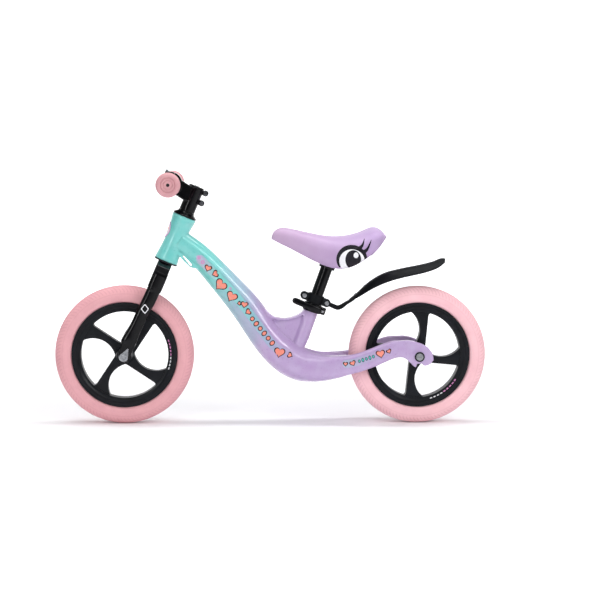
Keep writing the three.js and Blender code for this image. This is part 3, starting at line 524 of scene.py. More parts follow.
def saddle_skin():
    """Moulded polyurethane skin, lilac, with a fine leather grain."""
    look = Look("saddle_skin", Sheen_Weight=0.12, Sheen_Roughness=0.4, Specular_IOR_Level=0.45)
    tone = look.mix(look.spread(look.axis("X"), 1, 0, 0.0, 0.2), (177, 150, 195), (188, 158, 190))
    return look.finish(look.clouds(tone, (208, 188, 218), 32, 5, 0.22), (0.4, 0.55, 180, 4),
                       (look.cells(750, "DISTANCE_TO_EDGE"), 0.10, 0.12), (look.noise(1200, 3), 0.12, 0.06))


def ink(name, colour, worn, gloss=0.4):
    """Printed film: one ink with slight unevenness under a satin varnish."""
    look = Look(name, Coat_Weight=gloss, Coat_Roughness=0.12, Specular_IOR_Level=gloss)
    return look.finish(look.clouds(colour, worn, 240, 5, 0.6, 0.4, 0.8), (0.3, 0.42, 500),
                       (look.noise(900, 2), 0.08, 0.04))


def film(name, start, end, *colours):
    """Clear printed film whose tint runs through a few colours along the bike."""
    look = Look(name, Coat_Weight=0.6, Coat_Roughness=0.08)
    share = look.spread(look.axis("X"), 0, 1, start, end)
    tone, steps = colours[0], len(colours) - 1
    for number, colour in enumerate(colours[1:]):
        tone = look.mix(look.spread(share, 0, 1, number / steps, (number + 1) / steps), tone, colour)
    return look.finish(look.clouds(tone, (240, 240, 248), 150, 4, 0.1), (0.28, 0.4, 300),
                       (look.noise(700, 2), 0.05, 0.04))


PAINT = frame_paint()
BLACK = black_paint()
ALLOY = black_alloy()
STEEL = steel("steel", (138, 140, 145), (182, 184, 188))
DARK_STEEL = steel("dark_steel", (84, 86, 90), (118, 120, 125))
RIM = rim_plastic()
GUARD = guard_plastic()
BASE = base_plastic()
FRONT_FOAM = tyre_foam("front_foam", (231, 172, 178), (222, 162, 169))
REAR_FOAM = tyre_foam("rear_foam", (248, 200, 206), (240, 188, 196))
GRIP = grip_rubber()
SKIN = saddle_skin()
MINT_FILM = film("tube_film_tint", -0.16, 0.04,
                 (190, 170, 204), (120, 208, 201), (128, 198, 202), (154, 172, 201), (179, 152, 198))
LILAC_FILM = film("stay_film_tint", 0.145, 0.255, (166, 178, 202), (174, 160, 199), (179, 152, 198))
CORAL = ink("coral_ink", (244, 141, 122), (240, 156, 140))
DARK_INK = ink("dark_ink", (18, 15, 25), (30, 26, 38), 0.15)
ROSE_INK = ink("rose_ink", (214, 128, 190), (226, 156, 204))
WHITE_INK = ink("white_ink", (240, 240, 244), (226, 227, 233))
TEAL_INK = ink("teal_ink", (72, 176, 168), (96, 190, 184))


# ---- frame ---------------------------------------------------------------------------
# Down tube and belly: [x, z, height, width] along the middle, from the head to the yoke.
BACKBONE = [
    (-192, 383, 44, 40), (-147, 349, 45, 42), (-87, 284, 53, 47), (-49, 239, 59, 52), (-15, 189, 60, 57),
    (8, 162, 63, 62), (32, 141, 66, 67), (54, 129, 67, 73), (78, 122.5, 66, 81), (103, 119.5, 59, 90),
    (130, 121.5, 51, 97), (160, 127, 43, 99),
]
STAY = [
    (112, 120, 48, 22, 33), (134, 122.5, 47, 22, 38), (154, 126, 42, 20, 39.5), (179, 131.5, 39.5, 18.5, 41),
    (205, 140.5, 39, 17.5, 42), (229, 151, 38, 16, 43), (254, 160, 36.5, 14, 43.5), (276, 161, 34, 12, 43.5),
]
DROPOUT = [
    (258, 178), (283, 179.4), (296, 177.3), (308.5, 173.5), (317, 169.7), (325.4, 164), (332.9, 154.6),
    (336.2, 147.2), (337.3, 138), (332, 131), (325, 127), (318.6, 125.6), (312.6, 130), (312.6, 145),
    (307.5, 150.1), (302.4, 145), (302.4, 130), (300.4, 121), (294.4, 126.2), (288, 132.5), (281.7, 138.8),
    (275, 142.7), (268, 144.7), (258, 145),
]
DROPOUT_INNER, DROPOUT_OUTER = 38, 49
HEAD_LENGTH = 100.5
TUBE_PANEL = [(-157, 353), (-120, 315.5), (-83, 278), (-50, 236.5), (-22, 200), (3, 167), (34, 147)]
TUBE_PANEL_RADIUS = 10.5
STAY_PANEL = [(146, 129.5), (170, 132.6), (205, 144), (232, 153), (254, 158.5)]
STAY_PANEL_RADIUS = 9.5
PANEL_DEPTH = 0.9
WHEEL_ROOM = 154
FRAME_VOXEL = 1.3
BACKBONE_STEPS = 100


def backbone_section():
    """Half-round top, a ridge, a flat side panel, a lower edge and a bevelled underside, which
    soften into a plain rounded section towards the yoke."""
    half = [(0.34, 1.0), (0.76, 0.72), (1.0, 0.28), (1.0, -0.5), (0.62, -0.97)]
    outline = half + [(-out, up) for out, up in reversed(half)]
    ridged = even_section(filleted(outline, 0.11, 4), 120)
    plain = even_section(superellipse(5, 400), 120)
    soften = np.clip((np.linspace(0, 1, BACKBONE_STEPS) - 0.68) / 0.24, 0, 1)[:, None, None]
    return ridged * (1 - soften) + plain * soften


def head_tube():
    outside = [(24.6, 0), (24.8, 4), (23.4, 14), (21.2, 37), (20.6, 58), (21.4, 69), (23.2, 82), (25.2, 95)]
    soft = [tuple(row) for row in along(outside, 40)]
    return lathe("head_tube", [(0, 0), *soft, (25.2, HEAD_LENGTH), (0, HEAD_LENGTH)], HEAD, 80)


def dropout(side):
    shape = plate("dropout", filleted(DROPOUT, 3), *y_range(side, DROPOUT_INNER, DROPOUT_OUTER))
    boss = disc("boss", 15, DROPOUT_OUTER - 2, DROPOUT_OUTER + 1, at(REAR_HUB.x, 0, REAR_HUB.z) @ ALONG_Y)
    if side > 0:
        boss.data.transform(Matrix.Scale(-1, 4, (0, 1, 0)))
        boss.data.flip_normals()
    return joined(shape, boss)


def gusset():
    """Thin web between down tube and seat tube, with a pocket in each side."""
    top = along([(-14, 240), (0.8, 227.3), (9.3, 223.6), (24, 221.6), (38.8, 223.1), (51.3, 227.4),
                 (61.9, 233.7), (67, 240)], 30)
    web = plate("web", [*map(tuple, top), (82, 240), (62, 150), (20, 160), (-20, 200)], -13, 13)
    collar_room = block((-60, -30, 3.4), (60, 30, 60), SEAT)
    pocket = [(-9, 226.5), (0.8, 221), (9.3, 218.4), (24, 217), (38.8, 218.6), (51.3, 222.6), (66, 230),
              (66, 150), (0, 150)]
    return cut(web, collar_room, plate("pocket", pocket, -20, -5.5), plate("pocket", pocket, 5.5, 20))


def head_strut():
    edge = [(-204, 364), (-189.5, 347.5), (-170.9, 328.6), (-160, 326.5), (-140, 326), (-150, 360)]
    return plate("strut", filleted(edge, 6), -15, 15)


def frame_casting():
    """The whole frame as one casting: tubes melted together, then machined for head and seat."""
    body = loft("frame_body", BACKBONE, backbone_section(), BACKBONE_STEPS)
    solids = [head_tube(), disc("seat_tube", 15, -75, 18.5, SEAT), gusset(), head_strut()]
    for side in (-1, 1):
        path = [(x, z, high, wide, y * side) for x, z, high, wide, y in STAY]
        solids += [loft("stay", path, superellipse(3.2, 48), 50), dropout(side)]
    joined(body, *solids)
    room = mirrored([(0, -29.5), (149, -29.5), (WHEEL_ROOM, -24)])
    scoop = loft("scoop", [(72, 166, 22, 30), (96, 155, 26, 50), (128, 151, 30, 60), (190, 151, 34, 60)],
                 superellipse(3, 64), 40)
    slot = [(-188, 352.5), (-184.6, 353.6), (-166.4, 334), (-167.4, 329.6), (-170.8, 330.8)]
    cut(body, lathe("room", room, at(*REAR_HUB) @ ALONG_Y, 128),
        plate("slot", filleted(slot, 1.2), -40, 40), scoop)
    melted(body, FRAME_VOXEL, 5)
    pressed(body, stadium(TUBE_PANEL, TUBE_PANEL_RADIUS), PANEL_DEPTH)
    pressed(body, stadium(STAY_PANEL, STAY_PANEL_RADIUS), PANEL_DEPTH)
    pocket = 20.5
    bore = [(0, -5), (pocket, -5), (pocket, 12), (15, 12), (15, 88), (pocket, 88), (pocket, 106), (0, 106)]
    seat_bore = [(0, -110), (13, -110), (13, 30), (0, 30)]
    return cut(body, lathe("bore", bore, HEAD, 80), lathe("seat_bore", seat_bore, SEAT, 64))


def stadium(path, radius, steps=50):
    """Round-ended outline at a distance from a path of (x, z) points."""
    line = along(path, steps)
    heading = headings(line)
    left = np.stack([-heading[:, 1], heading[:, 0]], axis=1) * radius
    first, last = (math.atan2(row[1], row[0]) for row in (heading[0], heading[-1]))
    quarter = math.pi / 2
    far_end = arc(*line[-1], radius, last - quarter, last + quarter, 12)[1:-1]
    near_end = arc(*line[0], radius, first + quarter, first + 3 * quarter, 12)[1:-1]
    return [*map(tuple, line - left), *far_end, *map(tuple, (line + left)[::-1]), *near_end]


def pressed(body, outline, depth):
    """Sinks the area inside an outline into both sides of a body, to an even depth."""
    for side in (-1, 1):
        core = copied(body, "core")
        core.data.transform(at(0, -side * depth * MM, 0))
        cut(body, cut(plate("panel", outline, *y_range(side, 5, 80)), core))


FRAME_BODY = frame_casting()
piece(FRAME_BODY, PAINT, "frame", "frame", angle=50)


# ---- headset -------------------------------------------------------------------------
CUP = [(17.8, -2.8), (25.2, -2.8), (25.2, -0.3), (20.2, -0.3), (20.2, 11), (17.8, 11)]
COVER = [(13, 101), (25, 101), (25.2, 103.1), (19.6, 107.2), (17.2, 109), (17.2, 111.7), (13, 111.7)]
piece(turned("lower_cup_ring", CUP, HEAD, 0.5), ALLOY, "frame", "headset_lower_cup")
piece(turned("upper_cover", COVER, HEAD, 0.6), BLACK, "steering", "headset_top_cover")
for node, low, high, outer in (("lower_bearing", 1, 8, 17.5), ("upper_bearing", 90, 97.5, 20.2)):
    piece(ring(node + "_race", 13.3, outer, low, high, HEAD), STEEL, "frame", node)
piece(ring("crown_race_ring", 13, 16.8, -3, 0.6, HEAD), STEEL, "steering", "crown_race")

# ---- fork ----------------------------------------------------------------------------
LEG_Y = 41.5
TAB_INNER, TAB_OUTER = 41, 48
CROWN_TOP = -3.4
# Leg: [x, z, depth, thickness]. The crown's socket stands proud of the tube below it, and a
# knuckle closes the tube above the flat tab.
LEG_SOCKET = [(0.4, -30, 31, 21), (0.3, -45, 31, 20.5), (0.2, -58.6, 30.6, 20), (0.1, -60, 29.8, 19.4)]
LEG_TUBE = [(0.2, -50, 27.8, 18), (-0.8, -85, 28, 18), (-3, -112, 26.5, 17.5), (-4.2, -140, 26, 17),
            (-5.4, -162, 27.5, 17), (-6.4, -178, 31.5, 17.6), (-6.6, -186, 31, 16.5), (-6.6, -190, 27, 12)]


AXLE_SPOT = HEAD.inverted() @ FRONT_HUB


def crown():
    """Arched bridge that carries both legs."""
    points = [(-51, -39), (-49.5, -24), (-40, -11.5), (-22, CROWN_TOP), (22, CROWN_TOP), (40, -11.5),
              (49.5, -24), (51, -39), (31, -39), (29, -31), (18, -26), (-18, -26), (-29, -31), (-31, -39)]
    across = Matrix.Rotation(math.pi / 2, 4, "Z")
    return plate("crown", filleted(points, 6), -15, 15, HEAD @ across)


def leg_tab(side):
    """Flat end with a slot for the axle, open downwards."""
    x, z = AXLE_SPOT.x, AXLE_SPOT.z
    slope = 0.16
    outline = arc(x, z, 12, math.pi + slope, 2 * math.pi - slope)
    outline += [(x + 13, z + 36), (x - 16, z + 36)]
    low, high = y_range(side, TAB_INNER, TAB_OUTER)
    slot = [(x - AXLE_HOLE, z - 30), (x + AXLE_HOLE, z - 30), *arc(x, z, AXLE_HOLE, 0, math.pi)]
    tab = eased(plate("tab", outline, low, high), 0.9, segments=2)
    cut(tab, plate("slot", slot, low - 5, high + 5))
    tab.data.transform(HEAD.to_3x3().to_4x4())
    tab.data.transform(at(*HEAD.to_translation() * MM))
    return tab


def fork():
    body = crown()
    body.name = "fork_body"
    solids, sockets = [disc("steerer", 12.7, -20, 163, HEAD)], []
    for side in (-1, 1):
        for group, name, rows in ((sockets, "socket", LEG_SOCKET), (solids, "leg", LEG_TUBE)):
            path = [(x, z, deep, thick, side * LEG_Y) for x, z, deep, thick in rows]
            group.append(loft(name, path, superellipse(2.8, 64), 60, HEAD))
        solids.append(leg_tab(side))
    joined(body, *solids)
    melted(body, 1.0, 5)
    return cut(joined(body, *sockets), disc("through", 10.5, -60, 170, HEAD))


FORK_BODY = fork()
piece(FORK_BODY, BLACK, "steering", "fork", angle=50)

# ---- stem ----------------------------------------------------------------------------
BAR_X = -53
BAR = at(BAR_X, 0, 152.4)
BAR_Y = HEAD @ BAR @ ALONG_Y          # along the handlebar, heights to the left
CLAMP_RADIUS, CLAMP_HALF = 24.4, 21
STEM_FOOT, STEM_TOP = 112, 164.7
LUG_X = 22
LUG_HEIGHTS = (139.1, 161.3)
SPLIT = 1.2
FACEPLATE_BOLTS = ((-14, -19.6), (14, -19.6), (-14, 19.6), (14, 19.6))
FORWARD = Matrix.Rotation(-math.pi / 2, 4, "Y")     # turns a piece's Z axis to the front


def lug_place(height):
    return HEAD @ at(LUG_X, 0, height) @ ALONG_Y


def faceplate_bolt_place(y, z):
    return HEAD @ BAR @ at(0, y, z) @ FORWARD


def stem_forging():
    """Clamp, arm and lugs as one forging, before it is bored and split."""
    body = disc("stem_body", 16.4, STEM_FOOT, STEM_TOP, HEAD)
    arm = [(0, STEM_FOOT + 19), (0, STEM_TOP), (-19, STEM_TOP), (-36, 168), (-50, 172), (-50, 131),
           (-34, 134.5), (-16, 131.5)]
    solids = [eased(plate("arm", filleted(arm, 4), -15, 15, HEAD), 3),
              disc("barrel", CLAMP_RADIUS, -CLAMP_HALF, CLAMP_HALF, BAR_Y, 1.5)]
    for height in LUG_HEIGHTS:
        top = 3.4 if height > 150 else 5.5
        solids.append(disc("lug", 6.2, -9.5, 9.5, lug_place(height)))
        solids.append(block((0, -9.5, height - 5.5), (LUG_X, 9.5, height + top), HEAD))
    joined(body, *solids)
    melted(body, 0.8, 3)
    return body


def stem():
    """The forging split into the stem and its faceplate."""
    rear = stem_forging()
    bores = [disc("steerer", 13, 0, 200, HEAD), disc("bar", 16.2, -60, 60, BAR_Y),
             block((4, -SPLIT, STEM_FOOT - 5), (60, SPLIT, STEM_TOP + 5), HEAD)]
    bores += [hole(BOLT_HOLE, lug_place(height)) for height in LUG_HEIGHTS]
    stepped = [(0, -8.5), (2.8, -8.5), (2.8, 15), (4.6, 15), (4.6, 40), (0, 40)]
    bores += [turned("hole", stepped, faceplate_bolt_place(*spot), 0.2, 48) for spot in FACEPLATE_BOLTS]
    cut(rear, *bores)
    front = copied(rear, "stem_front")
    reach = 90
    common(rear, block((BAR_X + SPLIT, -reach, 0), (reach, reach, 300), HEAD))
    common(front, block((BAR_X - reach, -reach, 0), (BAR_X - SPLIT, reach, 300), HEAD))
    return rear, front


STEM_BODY, STEM_FRONT = stem()
piece(STEM_BODY, BLACK, "steering", "stem")
piece(STEM_FRONT, BLACK, "steering", "stem_faceplate")
for number, spot in enumerate(FACEPLATE_BOLTS, 1):
    screw = socket_screw(f"faceplate_screw_{number}", faceplate_bolt_place(*spot), 2.5, 4.2, -8, 15, 19.4)
    piece(screw, DARK_STEEL, "steering", f"faceplate_bolt_{number}")
for number, height in enumerate(LUG_HEIGHTS, 1):
    screw = socket_screw(f"pinch_screw_{number}", lug_place(height), 2.5, 4.2, -12, 9.7, 12.3)
    nut = hexagon("nut", 8, -12.2, -9.8, lug_place(height))
    piece(joined(screw, nut), DARK_STEEL, "steering", f"pinch_bolt_{number}")

TOP_CAP = [(3.4, 165), (16.2, 165), (16.4, 166.8), (15, 168.3), (6, 168.3), (5.6, 166.5), (3.4, 166.5)]
piece(turned("stem_top_cap", TOP_CAP, HEAD, 0.5), BLACK, "steering", "top_cap")
piece(socket_screw("top_cap_screw", HEAD, 3, 5.2, 140, 166.9, 169.4, 4), STEEL, "steering", "top_cap_bolt")
piece(ring("star_nut_ring", 3.4, 10, 144, 150, HEAD), STEEL, "steering", "star_nut")

# ---- handlebar and grips -------------------------------------------------------------
BAR_HALF = 190
GRIP_INNER, GRIP_END = 92, 194


def handlebar():
    half = [(0, BAR_HALF), (11.1, BAR_HALF), (11.1, 60), (15.9, 34)]
    return turned("handlebar_tube", mirrored(half), BAR_Y, 4)


def grip(name, side):
    """Rubber grip: flange, ribbed palm, ball end with two rings round a small centre hole."""
    palm_start, palm_end, rib = GRIP_INNER + 8, 166, 5.5
    ribs = []
    height = palm_start
    while height < palm_end:
        ribs += [(radius, height + share * rib)
                 for radius, share in ((15.5, 0), (15.9, 0.4), (15.5, 0.72), (15.0, 0.86))]
        height += rib
    face = [(radius, GRIP_END - sunk) for radius, sunk in (
        (20.5, 0.6), (16.5, 0), (15.1, 0), (14.9, 2), (13.5, 2), (13.3, 0), (9.6, 0), (9.4, 1.8), (8.3, 1.8),
        (8.1, 0), (3.4, 0.2))]
    profile = [(11.4, GRIP_INNER), (20.2, GRIP_INNER), (20.5, GRIP_INNER + 4), (15.8, GRIP_INNER + 6.2), *ribs,
               (15.3, 171), (22.6, 178.2), (24.6, 184.2), (23.2, 190.6), *face, (3.4, BAR_HALF + 0.3),
               (11.4, BAR_HALF + 0.3)]
    return turned(f"{name}_grip", profile, HEAD @ BAR @ outwards(side), 0.7)


piece(handlebar(), BLACK, "steering", "handlebar", slot="black_alloy")
for name, side in SIDES:
    piece(grip(name, side), GRIP, "steering", f"grip_{name}", angle=60)
    plug = disc(f"{name}_bar_plug", 3.6, BAR_HALF - 1, BAR_HALF + 0.6, HEAD @ BAR @ outwards(side), 0.2, 32)
    piece(plug, BASE, "steering")

# ---- wheels --------------------------------------------------------------------------
WINDOW_RADIUS = 93
SPOKES = 4
HUB_HALF = 36


def angle_to(start, end):
    return math.atan2(end[1] - start[1], end[0] - start[0])


def swept(centre, radius, start, end, steps):
    """Clockwise arc from one angle to another."""
    while end > start:
        end -= 2 * math.pi
    return arc(centre[0], centre[1], radius, start, end, steps)


def window():
    """Opening between two spokes: the rim's arc, a round edge and a straight edge."""
    fillet = 7
    centre = np.array((-66.0, -13.0))
    radius = 47.5
    chord, chord_angle = 15, -0.582
    rim_radius, curve_radius = WINDOW_RADIUS - fillet, radius - fillet
    normal = np.array((math.cos(chord_angle), math.sin(chord_angle)))
    line = np.array((normal[1], -normal[0]))

    def meet_line(middle, reach, sign):
        offset = middle @ normal + chord + fillet
        return middle - offset * normal + sign * math.sqrt(reach ** 2 - offset ** 2) * line

    reach = np.linalg.norm(centre)
    inward = (rim_radius ** 2 - curve_radius ** 2 + reach ** 2) / (2 * reach)
    unit = centre / reach
    origin = np.zeros(2)
    top = unit * inward + np.array((unit[1], -unit[0])) * math.sqrt(rim_radius ** 2 - inward ** 2)
    hub = meet_line(centre, curve_radius, -1)
    foot = meet_line(origin, rim_radius, 1)
    outline = swept(origin, WINDOW_RADIUS, angle_to(origin, foot), angle_to(origin, top), 40)
    outline += swept(top, fillet, angle_to(origin, top), angle_to(centre, top), 8)
    outline += swept(centre, radius, angle_to(centre, top), angle_to(centre, hub), 30)
    outline += swept(hub, fillet, angle_to(centre, hub), chord_angle, 8)
    outline += swept(foot, fillet, chord_angle, angle_to(origin, foot), 8)
    return [spot for spot, after in zip(outline, outline[1:] + outline[:1]) if math.dist(spot, after) > 0.3]


def wheel_place(hub, turn=0.0):
    """The wheel's own frame: X-Z is its plane, Y its axle."""
    return at(*hub) @ Matrix.Rotation(-turn, 4, "Y")


def rim(name, place):
    """Moulded rim: bevelled spokes, a stepped hoop and a flared hub."""
    inner = WINDOW_RADIUS - 2
    half = [(inner, 13), (95, 14.2), (98.5, 16.6), (100.8, 17), (101.6, 15.9), (104, 15.6), (108.6, 15.8),
            (110, 16.6), (110.2, 13.8), (102, 13.4)]
    body = turned(name, mirrored(half), place @ ALONG_Y, 0.7, 160)
    spider = disc("spider", 97, -10.5, 10.5, place @ ALONG_Y, 0.4, 160)
    for spoke in range(SPOKES):
        turn = Matrix.Rotation(spoke * 2 * math.pi / SPOKES, 4, "Y")
        cut(spider, plate("window", window(), -40, 40, place @ turn))
    eased(spider, 3.4, 40, 4)
    hub = [(0, -HUB_HALF), (15.5, -HUB_HALF), (16, -25), (17.5, -17), (19.5, -11)]
    joined(body, spider, turned("hub", mirrored(hub), place @ ALONG_Y, 2.5))
    bore = [(0, -60), (11.3, -60), (11.3, -28), (8, -28)]
    return cut(body, lathe("bore", mirrored(bore), place @ ALONG_Y, 64))


TREAD_PITCHES = 112


def tread_depth(radius, across, angle):
    """Depth of the tread's grooves in millimetres, and how much of it is groove."""
    across = np.abs(across)

    def pulse(value, width):
        return np.clip(1.5 - np.abs(value) / width, 0, 1)

    def beyond(value, limit, fade=1.5):
        return np.clip((value - limit) / fade, 0, 1)

    def bars(shift):
        return pulse((angle / (2 * math.pi) * TREAD_PITCHES + shift + 0.12 * across) % 1 - 0.5, 0.11)

    shoulder = bars(0) * beyond(radius, 131.5) * beyond(across, 8.5)
    crown = bars(0.5) * beyond(-across, -6.5) * beyond(radius, 140, 1)
    rails = pulse(across - 7.6, 0.7) * beyond(radius, 140, 1)
    line = pulse(radius - 128.5, 0.7)
    return 1.0 * shoulder + 0.9 * crown + 1.1 * rails + 0.45 * line


def tyre(name, hub):
    """Solid foam tyre: a foot in the rim's channel, soft sidewalls and a blocked tread."""
    foot = [(110.6, 13.3), (103, 12.8), (102.6, 12.2)]
    flank = [(110.6, 13.3), (111.2, 17.2), (113.4, 20.4), (119, 22.6), (126, 23), (133, 21.2), (138.5, 17.6),
             (142.6, 12.4), (144.4, 6.5), (144.9, 0)]
    soft = [tuple(row) for row in along(flank, 40)]
    half = foot[::-1] + soft
    profile = np.array(half + [(radius, -across) for radius, across in reversed(half[:-1])])
    sides = TREAD_PITCHES * 6
    angle = 2 * math.pi * np.arange(sides) / sides
    heading = headings(profile)
    normal = np.stack([heading[:, 1], -heading[:, 0]], axis=1)
    outward = np.where(normal @ (1, 0) < -0.2, 0, 1) * np.sign(normal[len(profile) // 2, 0])
    depth = tread_depth(profile[:, 0, None], profile[:, 1, None], angle[None, :])
    sunk = depth * outward[:, None]
    radius = profile[:, 0, None] - normal[:, 0, None] * sunk
    across = profile[:, 1, None] - normal[:, 1, None] * sunk
    points = np.stack([radius * np.cos(angle), across + 0 * angle, radius * np.sin(angle)], axis=2)
    body = new_object(name, points.reshape(-1, 3) + np.array(hub),
                      grid_faces(len(profile), sides, wrap_rows=True))
    groove = body.data.attributes.new("groove", "FLOAT", "POINT")
    groove.data.foreach_set("value", np.clip(depth, 0, 1).astype(np.float32).ravel())
    return body


WHEELS = (("front", FRONT_HUB, 0.0, FRONT_FOAM), ("rear", REAR_HUB, REAR_WHEEL_TURN, REAR_FOAM))
BEARING = [(AXLE_HOLE, -3.5), (6, -3.5), (6.4, -3.1), (9.2, -3.1), (9.6, -3.5), (11, -3.5)]
RIMS = {}
for name, hub, turn, foam in WHEELS:
    place = wheel_place(hub, turn)
    body = f"{name}_wheel"
    RIMS[name] = piece(rim(f"{name}_wheel_rim", place), RIM, body, f"{name}_rim")
    piece(tyre(f"{name}_foam_tyre", hub), foam, body, f"{name}_tyre", angle=80)
    straight = place @ ALONG_Y
    piece(ring(f"{name}_spacer", AXLE_HOLE, 6, -27, 27, straight), STEEL, body, f"{name}_hub_spacer")
    for side_name, side in SIDES:
        middle = -side * 32
        races = [(radius, middle + height) for radius, height in mirrored(BEARING)]
        bearing = turned(f"{name}_{side_name}_bearing", races, straight, 0.2, 64)
        piece(bearing, STEEL, body, f"{name}_bearing_{side_name}")

# ---- axles ---------------------------------------------------------------------------
AXLE_RADIUS = 4


def axle(name, hub, shoulder, end):
    """Axle with a collar against each bearing and threaded ends."""
    collar = HUB_HALF + 0.2
    thread = []
    height = shoulder + 2
    while height < end - 1.2:
        thread += [(AXLE_RADIUS, height), (AXLE_RADIUS - 0.35, height + 0.5)]
        height += 1.0
    half = [(AXLE_RADIUS, collar), (6.8, collar), (6.8, shoulder), (AXLE_RADIUS, shoulder), *thread,
            (AXLE_RADIUS, end - 0.6), (3.4, end), (0, end)]
    other = [(radius, -height) for radius, height in reversed(half)]
    return lathe(name, other + half, at(*hub) @ ALONG_Y, 48)


def flange_nut(name, hub, side, low, high, flange, across):
    """Flanged hexagon nut round the axle's end."""
    place = at(*hub) @ outwards(side)
    body = disc(name, flange, low, low + 2, place, 0.5)
    joined(body, hexagon("hex", across, low + 1, high, place))
    return cut(body, lathe("hole", [(0, low - 2), (4.2, low - 2), (4.2, high + 2), (0, high + 2)], place, 48))


piece(axle("front_axle_bar", FRONT_HUB, TAB_INNER - 0.3, 55), STEEL, "steering", "front_axle")
piece(axle("rear_axle_bar", REAR_HUB, DROPOUT_INNER - 0.3, 56), STEEL, "frame", "rear_axle")


def teardrop(name, side):
    """Retaining plate on the fork's tab: a drop with its point to the rear and upwards."""
    outline = arc(0, 0, 9.8, 0.92 * math.pi, 2 * math.pi - 0.15 * math.pi, 30) + [(10.3, 16.3), (8, 17.3)]
    place = at(*FRONT_HUB)
    thick = y_range(side, TAB_OUTER + 0.3, TAB_OUTER + 3)
    body = eased(plate(name, filleted(outline, 1.2), *thick, place), 0.7)
    face = y_range(side, TAB_OUTER + 2.2, TAB_OUTER + 5)
    shrunk = [filleted([(1.5 + (x - 1.5) * share, 2.5 + (z - 2.5) * share) for x, z in outline], 1)
              for share in (0.84, 0.7)]
    core = plate("core", shrunk[1], face[0] - 1, face[1] + 1, place)
    groove = cut(plate("groove", shrunk[0], *face, place), core)
    return cut(body, groove, disc("hole", AXLE_HOLE, -70, 70, place @ ALONG_Y))


for name, side in SIDES:
    piece(teardrop(f"{name}_axle_keeper", side), STEEL, "steering", f"front_axle_plate_{name}")
    nut = flange_nut(f"{name}_front_nut", FRONT_HUB, side, TAB_OUTER + 3.4, 54.2, 8.4, 11)
    piece(nut, STEEL, "steering", f"front_axle_nut_{name}")
    nut = flange_nut(f"{name}_rear_nut", REAR_HUB, side, DROPOUT_OUTER + 2.6, 55.4, 7.4, 12)
    piece(nut, STEEL, "frame", f"rear_axle_nut_{name}")
    place = at(*REAR_HUB) @ outwards(side)
    washer = ring(f"{name}_rear_washer", AXLE_HOLE, 10.6, DROPOUT_OUTER + 1.2, DROPOUT_OUTER + 2.6, place)
    piece(washer, ALLOY, "frame")

# ---- seat post and collar ------------------------------------------------------------
POST_RADIUS = 12.7
COLLAR_FOOT, COLLAR_TOP = 3.7, 20.9
SEAT_TUBE_TOP = 18.5
QR = at(20.5, 0, 12.5)
LEVER_PIN_Y = -16.3
SKEWER = SEAT @ QR @ ALONG_Y
LEVER_PIN = SEAT @ QR @ at(0, LEVER_PIN_Y, 0)
PIN_RADIUS = 2


def seat_post():
    """Tube with a closed top and a ring of fine height marks down its back."""
    inner = POST_RADIUS - 2
    body = turned("seat_post_tube", [(inner, -85), (POST_RADIUS, -85), (POST_RADIUS, 116), (0, 116), (0, 112),
                                     (inner, 112)], SEAT, 0.8)
    marks = [ring("mark", POST_RADIUS - 0.25, POST_RADIUS + 1, height, height + 0.7, SEAT, 0.1)
             for height in range(-30, 0, 10)]
    return cut(body, *marks)


def seat_collar():
    """Slit band with two ears for the skewer."""
    inner = 15.3
    lip = SEAT_TUBE_TOP + 0.3
    section = [(inner, COLLAR_FOOT), (19.4, COLLAR_FOOT), (19.4, COLLAR_TOP), (13, COLLAR_TOP), (13, lip),
               (inner, lip)]
    band = turned("seat_collar_band", section, SEAT, 0.7)
    ears = eased(block((16.5, -9, COLLAR_FOOT + 1), (28.5, 9, COLLAR_TOP - 1), SEAT), 2)
    joined(band, ears)
    return cut(band, block((12, -1.5, 0), (40, 1.5, 30), SEAT), hole(BOLT_HOLE, SKEWER))


def pin_hole():
    return disc("hole", PIN_RADIUS + 0.3, -20, 20, LEVER_PIN)


def skewer():
    """Through bolt of the collar, with the eye that the lever's cam turns on."""
    shank = disc("collar_bolt", 2.5, -19, -LEVER_PIN_Y, SKEWER)
    return cut(joined(shank, disc("eye", 4.2, -2.6, 2.6, LEVER_PIN)), pin_hole())


def lever():
    """Two cheeks round the skewer's eye, then an arm that follows the seat tube forwards."""
    x, _, z = QR.to_translation()
    arm = loft("lever_arm", [
        (x + 1, z, 11.5, 8, LEVER_PIN_Y - 1), (12, z + 0.3, 11.5, 7, LEVER_PIN_Y - 4.5),
        (-2, z + 0.8, 11.5, 5.5, -23.6), (-20, z + 1.6, 12.5, 5, -23), (-38, z + 2.5, 13, 6, -20),
        (-44, z + 2.9, 10, 5, -19.2), (-46.5, z + 3, 4, 2.5, -19),
    ], superellipse(3, 40), 60, SEAT)
    joined(arm, disc("boss", 6, -5.75, 5.75, LEVER_PIN))
    melted(arm, 0.55, 2)
    return cut(arm, disc("cheek_gap", 7, -2.9, 2.9, LEVER_PIN, 0.2), pin_hole())


piece(seat_post(), BLACK, "seat", "seat_post")
piece(seat_collar(), BLACK, "frame", "seat_collar")
piece(skewer(), STEEL, "frame", "collar_skewer")
COLLAR_NUT = hexagon("collar_bolt_nut", 10, 12.7, 17.5, SEAT @ QR @ outwards(1))
piece(cut(COLLAR_NUT, hole(BOLT_HOLE, SKEWER)), STEEL, "frame", "collar_nut")
piece(lever(), BLACK, "lever", "qr_lever", angle=50)
piece(disc("lever_pin", PIN_RADIUS, -6, 6, LEVER_PIN), STEEL, "lever", "qr_cam_pin")

# ---- mudguard ------------------------------------------------------------------------
BRACKET_FOOT, BRACKET_TOP = 21.4, 41.4
BOLT_X, BOLT_Z = 24.7, 31.2
EYE_HALF = 5


def bracket_bolt_place(x):
    return SEAT @ at(x, 0, BOLT_Z) @ ALONG_Y


